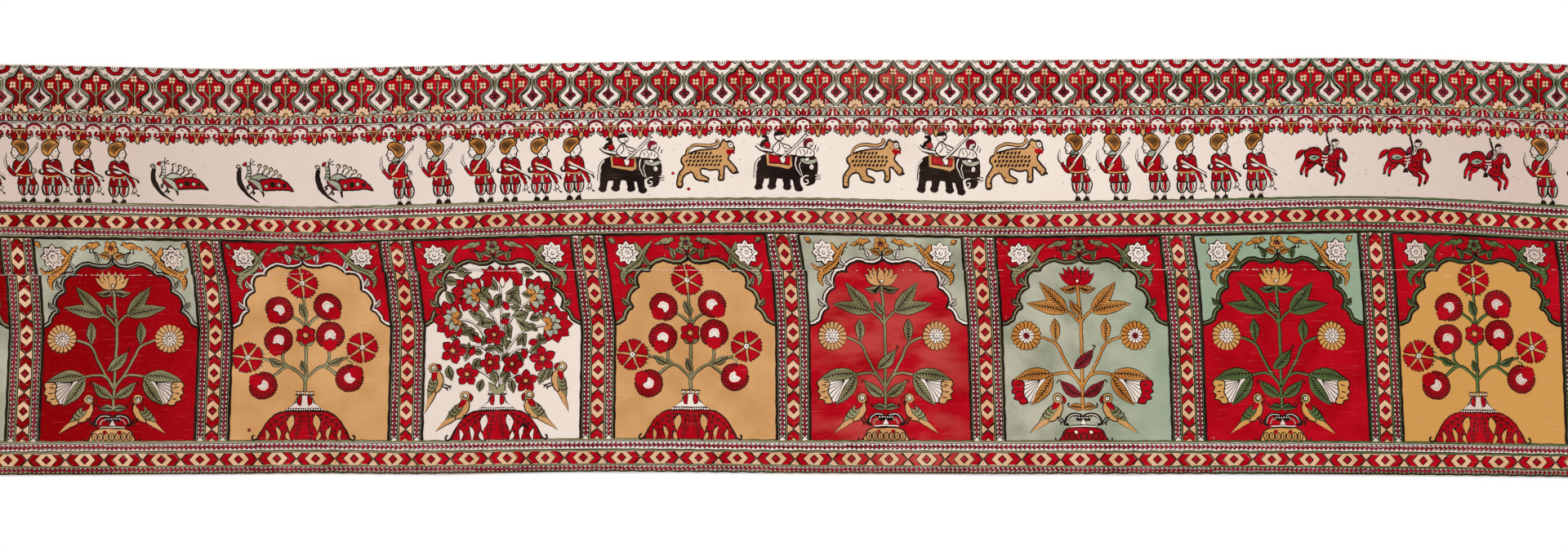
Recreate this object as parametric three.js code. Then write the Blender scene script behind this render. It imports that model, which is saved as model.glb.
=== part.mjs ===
// A block-printed cotton tent panel, lying flat and face up.
// Two loom widths of cloth are joined by one lengthwise seam. Each width is one closed solid,
// hemmed on its outer edges, with the soft ridges that stand up from the surface it lies on.
// Millimetres. +X runs along the panel, +Y up its printed face, +Z up out of the face.
// The origin is under the middle of the panel, on the surface it lies on.
import * as THREE from 'three';

// Driving dimensions
const CLOTH = 1.2; // thickness of one layer
const HEM = 12; // width of the turned hem, where the cloth is doubled
const SEAM_GAP = 0.3; // between the two widths at their seam
const TOP_EDGE = 486; // nominal height of the top edge above the seam
const BOTTOM_EDGE = -473; // nominal height of the bottom edge
const CELLS_ALONG = 84; // steps of the surface along the panel
const CELLS_ACROSS = 7; // steps across one width, between its hems

// How far the three long edges stray from straight, at stations along the panel
const EDGE_STRAY = [
  { x: -2220, top: -2, seam: -8, bottom: -2 },
  { x: -1770, top: -6, seam: -9.5, bottom: -2 },
  { x: -1330, top: -15, seam: -9.5, bottom: 0 },
  { x: -1105, top: -15, seam: -6, bottom: 2 },
  { x: -880, top: -9.5, seam: -2, bottom: 0 },
  { x: -435, top: 0, seam: 2, bottom: 5.5 },
  { x: 15, top: 5.5, seam: 1, bottom: 2 },
  { x: 465, top: 5.5, seam: 2, bottom: 0 },
  { x: 930, top: 7.5, seam: 3, bottom: 0 },
  { x: 1385, top: 9.5, seam: 3, bottom: -2 },
  { x: 1845, top: -6, seam: 3, bottom: -7.5 },
];

// The short ends follow the slant of the printed columns. The widths are offset at the seam.
const UPPER_ENDS = [
  { y: 0, left: -2268, right: 1888 },
  { y: 78, left: -2276, right: 1877 },
  { y: TOP_EDGE, left: -2276, right: 1877 },
];
const LOWER_ENDS = [
  { y: BOTTOM_EDGE, left: -2263, right: 1904 },
  { y: -399, left: -2263, right: 1904 },
  { y: -130, left: -2251, right: 1894 },
  { y: 0, left: -2259, right: 1888 },
];

// Soft ridges: where each crosses the seam, its slant, half width, height, and its reach in Y
const RIDGES = [
  { x: -1985, slant: 0.1, half: 130, height: 4, low: -620, high: 420 },
  { x: -1560, slant: -0.08, half: 110, height: 3, low: -120, high: 640 },
  { x: -1110, slant: 0.12, half: 150, height: 6.5, low: -360, high: 700 },
  { x: -760, slant: 0.05, half: 100, height: 3, low: -660, high: 260 },
  { x: -420, slant: -0.1, half: 140, height: 5, low: -640, high: 620 },
  { x: 60, slant: 0.06, half: 120, height: 3.5, low: -300, high: 660 },
  { x: 470, slant: -0.07, half: 130, height: 4.5, low: -680, high: 400 },
  { x: 845, slant: 0.1, half: 110, height: 3, low: -640, high: 160 },
  { x: 1180, slant: 0.04, half: 130, height: 4, low: -260, high: 680 },
  { x: 1520, slant: 0.14, half: 150, height: 6, low: -560, high: 700 },
];

const RED = '#a5121d';
const WHITE = '#e6d9cd';

// The two rows of a table on either side of a place, and the share of the way between them
function rowsAround(table, key, at) {
  let i = 0;
  while (i < table.length - 2 && at > table[i + 1][key]) i += 1;
  const share = (at - table[i][key]) / (table[i + 1][key] - table[i][key]);
  return { i, t: THREE.MathUtils.clamp(share, 0, 1) };
}

// Value of one column between the rows of a table, on a smooth cubic through all of them
function smooth(table, key, at, column) {
  const { i, t } = rowsAround(table, key, at);
  const span = table[i + 1][key] - table[i][key];
  const slope = (k) => {
    const a = table[Math.max(k - 1, 0)];
    const b = table[Math.min(k + 1, table.length - 1)];
    return ((b[column] - a[column]) / (b[key] - a[key])) * span;
  };
  const ease = t * t * (3 - 2 * t);
  const leave = t * (1 - t) * (1 - t) * slope(i);
  const arrive = t * t * (t - 1) * slope(i + 1);
  return THREE.MathUtils.lerp(table[i][column], table[i + 1][column], ease) + leave + arrive;
}

// Value of one column between the rows of a table, in straight steps
function straight(table, key, at, column) {
  const { i, t } = rowsAround(table, key, at);
  return THREE.MathUtils.lerp(table[i][column], table[i + 1][column], t);
}

// A rounded swell that is 1 in its middle and meets zero level at both sides
function swell(t) {
  return Math.abs(t) < 1 ? Math.cos((t * Math.PI) / 2) ** 2 : 0;
}

// Height of the underside above the surface the panel lies on
function relief(x, y) {
  return RIDGES.reduce((sum, r) => {
    const across = swell((x - r.x - r.slant * y) / r.half);
    const along = swell((2 * y - r.low - r.high) / (r.high - r.low));
    return sum + r.height * across * along;
  }, 0);
}

// Evenly spaced shares from one value to another, both ends included
function evenShares(from, to, cells) {
  return Array.from({ length: cells + 1 }, (_, i) => from + ((to - from) * i) / cells);
}

// Shares of the way across a width: a row at each edge, one inside each hem, even rows between
function sharesAcross(height, hemLow, hemHigh) {
  const from = hemLow ? HEM / height : 0;
  const to = hemHigh ? 1 - HEM / height : 1;
  const even = evenShares(from, to, CELLS_ACROSS);
  return [...(hemLow ? [0] : []), ...even, ...(hemHigh ? [1] : [])];
}

// One width of cloth: a closed sheet between two long edges, doubled at its hems
function widthGeometry({ ends, lowEdge, highEdge, hemLow, hemHigh }) {
  const nominal = Math.abs(TOP_EDGE - BOTTOM_EDGE) / 2;
  const across = sharesAcross(nominal, hemLow, hemHigh);
  const length = ends[0].right - ends[0].left;
  const hemShare = HEM / length;
  const along = [0, ...evenShares(hemShare, 1 - hemShare, CELLS_ALONG), 1];
  const columns = along.length;
  const rows = across.length;
  const positions = [];
  for (const upper of [true, false]) {
    along.forEach((s, i) => {
      across.forEach((w, j) => {
        const middle = THREE.MathUtils.lerp(ends[0].left, ends[0].right, s);
        const y = THREE.MathUtils.lerp(lowEdge(middle), highEdge(middle), w);
        const left = straight(ends, 'y', y, 'left');
        const right = straight(ends, 'y', y, 'right');
        const x = THREE.MathUtils.lerp(left, right, s);
        const endHem = i === 0 || i === columns - 1;
        const edgeHem = (hemLow && j === 0) || (hemHigh && j === rows - 1);
        const thick = endHem || edgeHem ? 2 * CLOTH : CLOTH;
        positions.push(x, y, relief(x, y) + (upper ? thick : 0));
      });
    });
  }
  const at = (i, j, upper) => (upper ? 0 : columns * rows) + i * rows + j;
  const index = [];
  const quad = (a, b, c, d) => index.push(a, b, c, a, c, d);
  for (let i = 0; i < columns - 1; i += 1) {
    for (let j = 0; j < rows - 1; j += 1) {
      quad(at(i, j, true), at(i + 1, j, true), at(i + 1, j + 1, true), at(i, j + 1, true));
      quad(at(i, j, false), at(i, j + 1, false), at(i + 1, j + 1, false), at(i + 1, j, false));
    }
    quad(at(i, 0, false), at(i + 1, 0, false), at(i + 1, 0, true), at(i, 0, true));
    const j = rows - 1;
    quad(at(i, j, true), at(i + 1, j, true), at(i + 1, j, false), at(i, j, false));
  }
  for (let j = 0; j < rows - 1; j += 1) {
    quad(at(0, j, true), at(0, j + 1, true), at(0, j + 1, false), at(0, j, false));
    const i = columns - 1;
    quad(at(i, j, false), at(i, j + 1, false), at(i, j + 1, true), at(i, j, true));
  }
  const geometry = new THREE.BufferGeometry();
  geometry.setAttribute('position', new THREE.Float32BufferAttribute(positions, 3));
  geometry.setIndex(index);
  geometry.computeVertexNormals();
  return geometry;
}

// Matte printed cotton
function cotton(color) {
  return new THREE.MeshStandardMaterial({ color, roughness: 0.95, metalness: 0 });
}

const topEdge = (x) => TOP_EDGE + smooth(EDGE_STRAY, 'x', x, 'top');
const seam = (x) => smooth(EDGE_STRAY, 'x', x, 'seam');
const bottomEdge = (x) => BOTTOM_EDGE + smooth(EDGE_STRAY, 'x', x, 'bottom');

// The upper width: frieze, procession band and border, hemmed along the top
function upperWidth() {
  const geometry = widthGeometry({
    ends: UPPER_ENDS,
    lowEdge: (x) => seam(x) + SEAM_GAP / 2,
    highEdge: topEdge,
    hemLow: false,
    hemHigh: true,
  });
  const mesh = new THREE.Mesh(geometry, cotton(WHITE));
  mesh.name = 'upper_width';
  return mesh;
}

// The lower width: the row of niches and the bottom border, hemmed along the bottom
function lowerWidth() {
  const geometry = widthGeometry({
    ends: LOWER_ENDS,
    lowEdge: bottomEdge,
    highEdge: (x) => seam(x) - SEAM_GAP / 2,
    hemLow: true,
    hemHigh: false,
  });
  const mesh = new THREE.Mesh(geometry, cotton(RED));
  mesh.name = 'lower_width';
  return mesh;
}

const panel = new THREE.Group();
panel.add(upperWidth(), lowerWidth());
const middle = new THREE.Box3().setFromObject(panel).getCenter(new THREE.Vector3());
panel.position.set(-middle.x, -middle.y, 0);
panel.updateMatrixWorld(true);

export default panel;
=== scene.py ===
"""A block-printed cotton tent panel, laid flat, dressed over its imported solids."""
import math
import random

import bpy
import numpy as np
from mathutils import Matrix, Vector
from mathutils.geometry import tessellate_polygon


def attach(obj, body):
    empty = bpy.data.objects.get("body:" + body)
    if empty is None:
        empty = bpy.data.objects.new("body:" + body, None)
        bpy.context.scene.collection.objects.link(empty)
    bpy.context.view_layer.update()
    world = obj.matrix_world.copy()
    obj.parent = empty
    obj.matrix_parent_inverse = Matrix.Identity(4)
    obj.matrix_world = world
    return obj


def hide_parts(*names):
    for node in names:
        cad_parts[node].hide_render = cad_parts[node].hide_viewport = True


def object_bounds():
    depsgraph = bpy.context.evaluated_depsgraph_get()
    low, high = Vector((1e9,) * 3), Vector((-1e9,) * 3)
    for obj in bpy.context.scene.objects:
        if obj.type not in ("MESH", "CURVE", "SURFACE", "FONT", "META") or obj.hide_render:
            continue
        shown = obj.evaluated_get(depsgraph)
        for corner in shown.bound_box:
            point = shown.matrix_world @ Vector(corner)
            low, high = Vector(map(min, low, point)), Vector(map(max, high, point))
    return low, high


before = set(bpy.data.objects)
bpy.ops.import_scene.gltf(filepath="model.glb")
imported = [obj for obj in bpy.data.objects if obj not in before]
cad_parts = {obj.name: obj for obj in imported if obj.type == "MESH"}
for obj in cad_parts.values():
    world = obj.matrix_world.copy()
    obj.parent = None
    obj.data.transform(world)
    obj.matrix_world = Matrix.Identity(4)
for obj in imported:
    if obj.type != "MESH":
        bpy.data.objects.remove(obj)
cad_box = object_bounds()
random.seed(7)

# The drawing is measured in units of 1.9 mm, x to the right and y down the printed face
MM = 1.9
MID_X = 960
SEAM = 332
LEFT, RIGHT = -237.9, 1947.9
TOP, BOTTOM = 76.2, 581
FRIEZE_END, MID_BORDER, MID_BORDER_END, FOOT = 170.4, 247.8, 290, 541
CLOTH = 1.2
HEM = 12
CELL = 6

# Lines where the surface bends: at the hems and the seam, and a lattice for the folds
HEM_UNITS = HEM / MM
BENDS = ((LEFT + HEM_UNITS, RIGHT - HEM_UNITS), (TOP + HEM_UNITS, SEAM, BOTTOM - HEM_UNITS))
LATTICE = (range(-228, 1944, CELL), range(SEAM - 40 * CELL, SEAM + 40 * CELL, CELL))

# Where the printed levels stray, in mm: x, top edge, middle border, seam, foot border, bottom edge
STRAY = np.array([
    (-2220, -2, 0, -8, -2, -2),
    (-1770, -6, -2, -9.5, -2, -2),
    (-1330, -15, -8.5, -9.5, 0, 0),
    (-1105, -15, -14, -6, 2, 2),
    (-880, -9.5, -8.5, -2, 0, 0),
    (-435, 0, 4, 2, 5, 5.5),
    (15, 5.5, 7.5, 1, 1, 2),
    (465, 5.5, -1, 2, 0, 0),
    (930, 7.5, 4, 3, 0, 0),
    (1385, 9.5, 10.5, 3, -2, -2),
    (1845, -6, -11.5, 3, -9.5, -7.5),
])

# How the columns lean, in mm: x, above the seam, below it, a third of the way down, at the foot
LEAN = np.array([
    (-2231, 8, 17, 25, 13),
    (-1786, 8, 17, 25, 13),
    (-1349, 13, 15, 27, 17),
    (-904, 11, 15, 30, 23),
    (-458, 10, 11, 27, 23),
    (-6, 15, 19, 27, 29),
    (452, 4, 6, 15, 23),
    (912, 11, 13, 23, 32),
    (1374, 6, 7, 15, 29),
    (1832, 11, 11, 17, 27),
])

# Soft ridges of the cloth, in mm: x at the seam, slant, half width, height, reach down and up
RIDGES = [
    (-1985, 0.1, 130, 4, -620, 420),
    (-1560, -0.08, 110, 3, -120, 640),
    (-1110, 0.12, 150, 6.5, -360, 700),
    (-760, 0.05, 100, 3, -660, 260),
    (-420, -0.1, 140, 5, -640, 620),
    (60, 0.06, 120, 3.5, -300, 660),
    (470, -0.07, 130, 4.5, -680, 400),
    (845, 0.1, 110, 3, -640, 160),
    (1180, 0.04, 130, 4, -260, 680),
    (1520, 0.14, 150, 6, -560, 700),
]

# Shallow creases left by folding, in mm: from x, y to x, y, half width, height
CREASES = [
    (-1820, -440, -1790, 300, 34, 0.4),
    (-1230, -380, -1255, 120, 32, 0.45),
    (-690, -455, -700, 60, 34, 0.4),
    (-250, 40, -225, 470, 36, 0.4),
    (270, -430, 262, 20, 32, 0.45),
    (655, -300, 690, 380, 36, 0.4),
    (1010, -440, 1030, -60, 32, 0.4),
    (1335, 60, 1350, 470, 34, 0.4),
    (1660, -420, 1690, 40, 34, 0.45),
    (-2000, 238, -500, 226, 32, 0.4),
    (-300, 244, 1500, 236, 32, 0.4),
    (-900, -242, 700, -236, 30, 0.35),
]


def hermite(table, column, at):
    """One column of a table on a smooth cubic through its rows"""
    xs = table[:, 0]
    values = table[:, column]
    rows = np.arange(len(xs))
    before = np.maximum(rows - 1, 0)
    after = np.minimum(rows + 1, len(xs) - 1)
    slope = (values[after] - values[before]) / (xs[after] - xs[before])
    i = np.clip(np.searchsorted(xs, at) - 1, 0, len(xs) - 2)
    span = xs[i + 1] - xs[i]
    t = np.clip((at - xs[i]) / span, 0, 1)
    ease = t * t * (3 - 2 * t)
    turn = t * (1 - t) ** 2 * slope[i] + t * t * (t - 1) * slope[i + 1]
    return values[i] + (values[i + 1] - values[i]) * ease + turn * span


def steps(at, levels, values):
    """Straight interpolation between values that are set at rising levels"""
    out = values[0] + np.zeros_like(at)
    for a, b, p, q in zip(levels, levels[1:], values, values[1:]):
        out = out + (q - p) * np.clip((at - a) / (b - a), 0, 1)
    return out


def on_panel(px, py, lower):
    """Drawing units to mm on the panel, before it is centred"""
    u = (px - MID_X) * MM
    level = [(SEAM - y) * MM for y in (BOTTOM, FOOT, SEAM, MID_BORDER_END, MID_BORDER, FRIEZE_END)]
    v = (SEAM - py) * MM
    top, mid, seam, foot, bottom = (hermite(STRAY, c, u) for c in range(1, 6))
    above, below, third, at_foot = (np.interp(u, LEAN[:, 0], LEAN[:, c]) for c in range(1, 5))
    if lower:
        y = v + steps(v, level[:3], [bottom, foot, seam])
        x = u + steps(v, [-399, -130, 0], [at_foot, third, below])
    else:
        y = v + steps(v, level[2:], [seam, mid, mid, top])
        x = u + steps(v, [0, 78], [above, 0 * above])
    return x, y


def swell(t):
    return np.where(np.abs(t) < 1, np.cos(np.clip(t, -1, 1) * math.pi / 2) ** 2, 0)


def relief(x, y):
    """Height of the cloth's underside above what it lies on, in mm"""
    z = np.zeros_like(x)
    for at, slant, half, height, low, high in RIDGES:
        z += height * swell((x - at - slant * y) / half) * swell((2 * y - low - high) / (high - low))
    for x0, y0, x1, y1, half, height in CREASES:
        dx, dy = x1 - x0, y1 - y0
        along = ((x - x0) * dx + (y - y0) * dy) / (dx * dx + dy * dy)
        across = ((x - x0) * dy - (y - y0) * dx) / math.hypot(dx, dy)
        z += height * swell(across / half) * swell(2 * along - 1)
    return z


def hem_rise(px, py):
    """The doubled edge stands higher by one layer of cloth"""
    inside = np.minimum(np.minimum(px - LEFT, RIGHT - px), np.minimum(py - TOP, BOTTOM - py)) * MM
    return CLOTH * np.clip(1 - inside / HEM, 0, 1)


outline_x = np.linspace(LEFT, RIGHT, 600)
edge_x, edge_y = on_panel(outline_x, np.full_like(outline_x, TOP), False)
foot_x, foot_y = on_panel(outline_x, np.full_like(outline_x, BOTTOM), True)
CENTRE_X = (min(edge_x.min(), foot_x.min()) + max(edge_x.max(), foot_x.max())) / 2
CENTRE_Y = (edge_y.max() + foot_y.min()) / 2


def to_frame(px, py, lift, lower):
    """Drawing units to metres in the part's frame, on the face of the cloth and lifted by mm"""
    x, y = on_panel(px, py, lower)
    z = relief(x, y) + lift
    return np.stack([x - CENTRE_X, y - CENTRE_Y, z], 1) / 1000


def wobble(px, py):
    """The small unevenness of a hand-cut, hand-stamped block"""
    reach = 0.22
    dx = np.sin(py * 0.83 + 2.1 * np.sin(px * 0.21)) + np.sin(py * 0.31 + px * 0.17)
    dy = np.sin(px * 0.77 + 1.7 * np.sin(py * 0.23)) + np.sin(px * 0.29 - py * 0.19)
    return px + reach * dx, py + reach * dy


# Printing: convex facets collected by dye and by width of cloth
INKS = {}
SLIP = {}
SPREAD = 0.6
DYES = ("red", "maroon", "green", "pale", "ochre", "tan", "orange", "black", "white")


def slip(amount=0.5):
    """Each dye's block lands a little off the outline"""
    for dye in DYES:
        SLIP[dye] = (random.uniform(-amount, amount), random.uniform(-amount, amount))
    SLIP["black"] = (0, 0)


def split(pts, axis, at):
    """A convex facet cut by a line: the part below it, and the rest"""
    low, high = [], []
    for p, q in zip(pts, pts[1:] + pts[:1]):
        if p[axis] <= at:
            low.append(p)
        if p[axis] >= at:
            high.append(p)
        if (p[axis] - at) * (q[axis] - at) < 0:
            t = (at - p[axis]) / (q[axis] - p[axis])
            mid = (p[0] + (q[0] - p[0]) * t, p[1] + (q[1] - p[1]) * t)
            low.append(mid)
            high.append(mid)
    return low, high


def cells(pts, axis):
    """A convex facet cut into strips that are short enough to follow the cloth"""
    low = min(p[axis] for p in pts)
    high = max(p[axis] for p in pts)
    lines = {at for at in BENDS[axis] if low < at < high}
    if high - low > 1.4 * CELL:
        lines.update(at for at in LATTICE[axis] if low < at < high)
    found = []
    for at in sorted(lines):
        part, pts = split(pts, axis, at)
        found.append(part)
    return found + [pts]


# The part of the drawing that may be printed: from x to x, from y to y
WINDOW = [LEFT + 0.8, RIGHT - 0.8, TOP + 0.5, BOTTOM - 0.5]


def facet(dye, pts, k):
    for axis, low, high in ((0, *WINDOW[:2]), (1, *WINDOW[2:])):
        if min(p[axis] for p in pts) < low:
            pts = split(pts, axis, low)[1]
        if len(pts) > 2 and max(p[axis] for p in pts) > high:
            pts = split(pts, axis, high)[0]
        if len(pts) < 3:
            return
    for strip in cells(pts, 0):
        for part in cells(strip, 1) if len(strip) > 2 else []:
            lower = sum(p[1] for p in part) > SEAM * len(part)
            points, index, faces = INKS.setdefault((dye, lower), ([], {}, []))
            corners = []
            for x, y in part:
                key = (round(x, 2), round(y, 2), k)
                if key not in index:
                    index[key] = len(points)
                    points.append(key)
                if index[key] not in corners:
                    corners.append(index[key])
            if len(corners) > 2:
                area = sum(p[0] * q[1] - q[0] * p[1] for p, q in zip(part, part[1:] + part[:1]))
                faces.append(corners if area < 0 else corners[::-1])


STROKES = [0]
STROKE_TURNS, STROKE_RISE = 11, 0.08


def stroke():
    """A hair's rise that differs from stroke to stroke, so that no two of them share a plane"""
    STROKES[0] += 1
    return STROKES[0] % STROKE_TURNS * STROKE_RISE


def P(text):
    """Points from text such as '0 0, 4 2'"""
    return [tuple(float(n) for n in pair.split()) for pair in text.split(",")]


def curve(pts, closed=False, n=4):
    """Points on a smooth line through the given ones"""
    count = len(pts)
    out = []
    for i in range(count if closed else count - 1):
        if closed:
            a, b, c, d = (pts[(i + j) % count] for j in (-1, 0, 1, 2))
        else:
            a, b, c, d = (pts[min(max(i + j, 0), count - 1)] for j in (-1, 0, 1, 2))
        for s in range(n):
            t = s / n
            w = (-t + 2 * t * t - t ** 3, 2 - 5 * t * t + 3 * t ** 3,
                 t + 4 * t * t - 3 * t ** 3, t ** 3 - t * t)
            out.append(tuple(sum(f * p[j] for f, p in zip(w, (a, b, c, d))) / 2 for j in (0, 1)))
    return out if closed else out + [pts[-1]]


def mirrored(pts):
    return [(-x, y) for x, y in reversed(pts)]


def ring(x, y, r, n=12, start=0, end=360, ry=None):
    """Points round a circle or an ellipse, or along an arc of it"""
    whole = abs(end - start) >= 360
    angles = [math.radians(start + (end - start) * i / (n if whole else n - 1)) for i in range(n)]
    return [(x + r * math.cos(a), y + (ry or r) * math.sin(a)) for a in angles]


def lens(a, b, w, bend=0, n=6, blunt=1.0):
    """A leaf-shaped outline from a to b"""
    dx, dy = b[0] - a[0], b[1] - a[1]
    size = math.hypot(dx, dy) or 1
    nx, ny = -dy / size, dx / size
    sides = [], []
    for i in range(n + 1):
        t = i / n
        half = w / 2 * math.sin(math.pi * t ** blunt)
        sag = bend * 4 * t * (1 - t)
        for side, s in zip(sides, (1, -1)):
            off = sag + s * half
            side.append((a[0] + dx * t + nx * off, a[1] + dy * t + ny * off))
    return sides[0] + sides[1][-2:0:-1]


class Pen:
    """Draws a motif in its own units, at a place, turn and size, above what is already printed"""

    def __init__(self, x, y, k=0, matrix=(1, 0, 0, 1), size=1):
        self.x, self.y, self.k, self.m, self.size = x, y, k, matrix, size

    def put(self, pts, dye="black"):
        a, b, c, d = self.m
        sx, sy = SLIP[dye]
        return [(self.x + sx + a * x + b * y, self.y + sy + c * x + d * y) for x, y in pts]

    def at(self, x, y, turn=0, size=1, flip=1, k=0):
        a, b, c, d = self.m
        co = math.cos(math.radians(turn)) * size
        si = math.sin(math.radians(turn)) * size
        matrix = (a * co * flip + b * si * flip, b * co - a * si,
                  c * co * flip + d * si * flip, d * co - c * si)
        px, py = self.put([(x, y)])[0]
        return Pen(px, py, self.k + k, matrix, self.size * size)

    def fill(self, dye, pts, k=0, edge=0.0):
        """A filled outline, with a black edge if asked for"""
        pts = P(pts) if isinstance(pts, str) else pts
        placed = self.put(pts, dye)
        level = self.k + k + stroke()
        for tri in tessellate_polygon([[Vector((x, y, 0)) for x, y in placed]]):
            facet(dye, [placed[i] for i in tri], level)
        if edge:
            self.line("black", pts, edge, k + 1, closed=True, n=0)

    def blob(self, dye, pts, k=0, edge=0.0, n=3):
        """A filled outline that is smooth through its points"""
        pts = P(pts) if isinstance(pts, str) else pts
        self.fill(dye, curve(pts, True, n), k, edge)

    def line(self, dye, pts, w, k=0, closed=False, ends=(1, 1, 1), n=3):
        """A smooth line; ends: its width at the start, middle and end, as shares of w"""
        pts = P(pts) if isinstance(pts, str) else pts
        pts = curve(pts, closed, n) if n and len(pts) > 2 else list(pts)
        pts = self.put(pts, dye)
        w += SPREAD if dye == "black" else 0
        if closed:
            pts = pts + pts[:1]
        rails = []
        for i, p in enumerate(pts):
            a = pts[i - 1] if i else (pts[-2] if closed else p)
            b = pts[i + 1] if i + 1 < len(pts) else (pts[1] if closed else p)
            size = math.hypot(b[0] - a[0], b[1] - a[1]) or 1
            t = i / max(len(pts) - 1, 1)
            if t < 0.5:
                share = ends[0] + (ends[1] - ends[0]) * 2 * t
            else:
                share = ends[1] + (ends[2] - ends[1]) * (2 * t - 1)
            half = w * self.size * share / 2
            nx, ny = -(b[1] - a[1]) / size * half, (b[0] - a[0]) / size * half
            rails.append(((p[0] + nx, p[1] + ny), (p[0] - nx, p[1] - ny)))
        level = self.k + k + stroke()
        for (a, b), (c, d) in zip(rails, rails[1:]):
            facet(dye, [a, c, d, b], level)

    def strokes(self, texts, w, k=0, ends=(1, 1, 1)):
        """Black lines, parted by semicolons"""
        for text in texts.split(";"):
            self.line("black", text, w, k, ends=ends)

    def cord(self, dye, pts, w, k=0, rim=0.5, ends=(1, 1, 1)):
        """A coloured line between two thin black ones"""
        self.line("black", pts, w + 2 * rim, k, ends=ends)
        self.line(dye, pts, w, k + 1, ends=ends)

    def dot(self, dye, x, y, r, k=0, rim=0.0, n=10, ry=None):
        if rim:
            self.fill("black", ring(x, y, r + rim + SPREAD / 2, n, ry=ry and ry + rim + SPREAD / 2), k)
        self.fill(dye, ring(x, y, r, n, ry=ry), k + 1)

    def leaf(self, dye, a, b, w, k=0, bend=0.0, rim=0.7, veins=0, blunt=0.85):
        size = math.hypot(b[0] - a[0], b[1] - a[1])
        ux, uy = (b[0] - a[0]) / size, (b[1] - a[1]) / size
        if rim:
            far = (b[0] + ux * 1.4, b[1] + uy * 1.4)
            self.fill("black", lens((a[0] - ux, a[1] - uy), far, w + 2 * rim + SPREAD, bend, blunt=blunt),
                      k)
        self.fill(dye, lens(a, b, w, bend, blunt=blunt), k + 1)
        if veins:
            def on_spine(t):
                sag = bend * 4 * t * (1 - t)
                return a[0] + ux * size * t - uy * sag, a[1] + uy * size * t + ux * sag

            spine = [on_spine(t) for t in (0.1, 0.3, 0.5, 0.7, 0.9)]
            self.line("black", spine, 0.5, k + 2, ends=(1, 1, 0.5))
            for i in range(2 * veins):
                t = (i + 1) / (2 * veins + 1)
                mx, my = on_spine(t)
                reach = w * 0.42 * math.sin(math.pi * t ** blunt)
                for s in (-1, 1):
                    tip = (mx + ux * reach * 0.8 - uy * reach * s, my + uy * reach * 0.8 + ux * reach * s)
                    self.line("black", [(mx, my), tip], 0.55, k + 2, ends=(1.2, 1, 0.3))

    def petals(self, dye, x, y, r0, r1, count, w, k=0, start=0, span=360, rim=0.5, blunt=1.35, lap=0):
        gaps = count if span >= 360 else count - 1
        for i in range(count):
            a = math.radians(start + span * i / max(gaps, 1))
            p = (x + r0 * math.cos(a), y + r0 * math.sin(a))
            q = (x + r1 * math.cos(a), y + r1 * math.sin(a))
            self.leaf(dye, p, q, w, k + lap * (i % 2), rim=rim, blunt=blunt)


def rosette(pen, k=0):
    """White rosette of the spandrels, in three rows of eight petals"""
    pen.petals("white", 0, 0, 3, 11.4, 8, 7, k, start=22.5, rim=0.6, blunt=0.9)
    pen.petals("white", 0, 0, 3, 14, 8, 8, k + 2, rim=0.7, blunt=0.9)
    for i in range(8):
        a = math.radians(45 * i)
        pen.line("black", [(f * math.cos(a), f * math.sin(a)) for f in (7.6, 10.6)], 0.4, k + 4)
    pen.petals("white", 0, 0, 1, 6.8, 8, 4, k + 5, start=22.5, rim=0.4, blunt=1.1)
    pen.dot("white", 0, 0, 1.5, k + 7, rim=0.6, n=8)


def wheel_flower(pen, r, k=0, gaps=6, start=0):
    """Red flower seen from above, with saw-toothed petals between pale spokes"""
    for i in range(gaps):
        a0 = start + 360 / gaps * i + 4
        a1 = a0 + 360 / gaps - 8
        teeth = []
        for j in range(9):
            a = math.radians(a0 + (a1 - a0) * j / 8)
            reach = r * (1.0 if j % 2 else 0.91)
            teeth.append((reach * math.cos(a), reach * math.sin(a)))
        mid = math.radians((a0 + a1) / 2)
        pen.fill("red", [(r * 0.2 * math.cos(mid), r * 0.2 * math.sin(mid))] + teeth, k + 1, edge=0.5)
    pen.dot("white", 0, 0, r * 0.16, k + 3, rim=0.7, n=8)
    pen.dot("black", 0, 0, r * 0.05, k + 5, n=6)


def carnation(pen, r, k=0):
    """Carnation: a pleated red fan round a dotted white heart, on a lobed red cup below"""
    fan = ring(0, 0, r, 49, 124, 416)
    fan = [(x * (1 if i % 2 else 0.955), y * (1 if i % 2 else 0.955)) for i, (x, y) in enumerate(fan)]
    pen.fill("red", fan + [(0, 0)], k, edge=0.7)
    for i in range(21):
        a = math.radians(132 + 276 * i / 20)
        p = (r * 0.46 * math.cos(a), r * 0.46 * math.sin(a))
        pen.line("black", [p, (r * 0.93 * math.cos(a), r * 0.93 * math.sin(a))], 0.8, k + 2,
                 ends=(0.4, 1, 1.2))
    pen.fill("white", ring(0, 0, r * 0.38, 14), k + 3)
    pen.fill("white", [(-r * 0.5, r * 0.66), (-r * 0.3, 0), (r * 0.3, 0), (r * 0.5, r * 0.66)], k + 3)
    for i in range(8):
        a = math.radians(160 + 220 * i / 7)
        pen.dot("black", r * 0.23 * math.cos(a), r * 0.23 * math.sin(a), 0.5, k + 4, n=5)
    for x, y in P("-5.4 8, 0 6.8, 5.4 8, -3.6 12.4, 3.6 12.4, 0 14.4"):
        pen.dot("red", x * r / 16, y * r / 16, r * 0.23, k + 4, rim=0.3, n=8)


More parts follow.
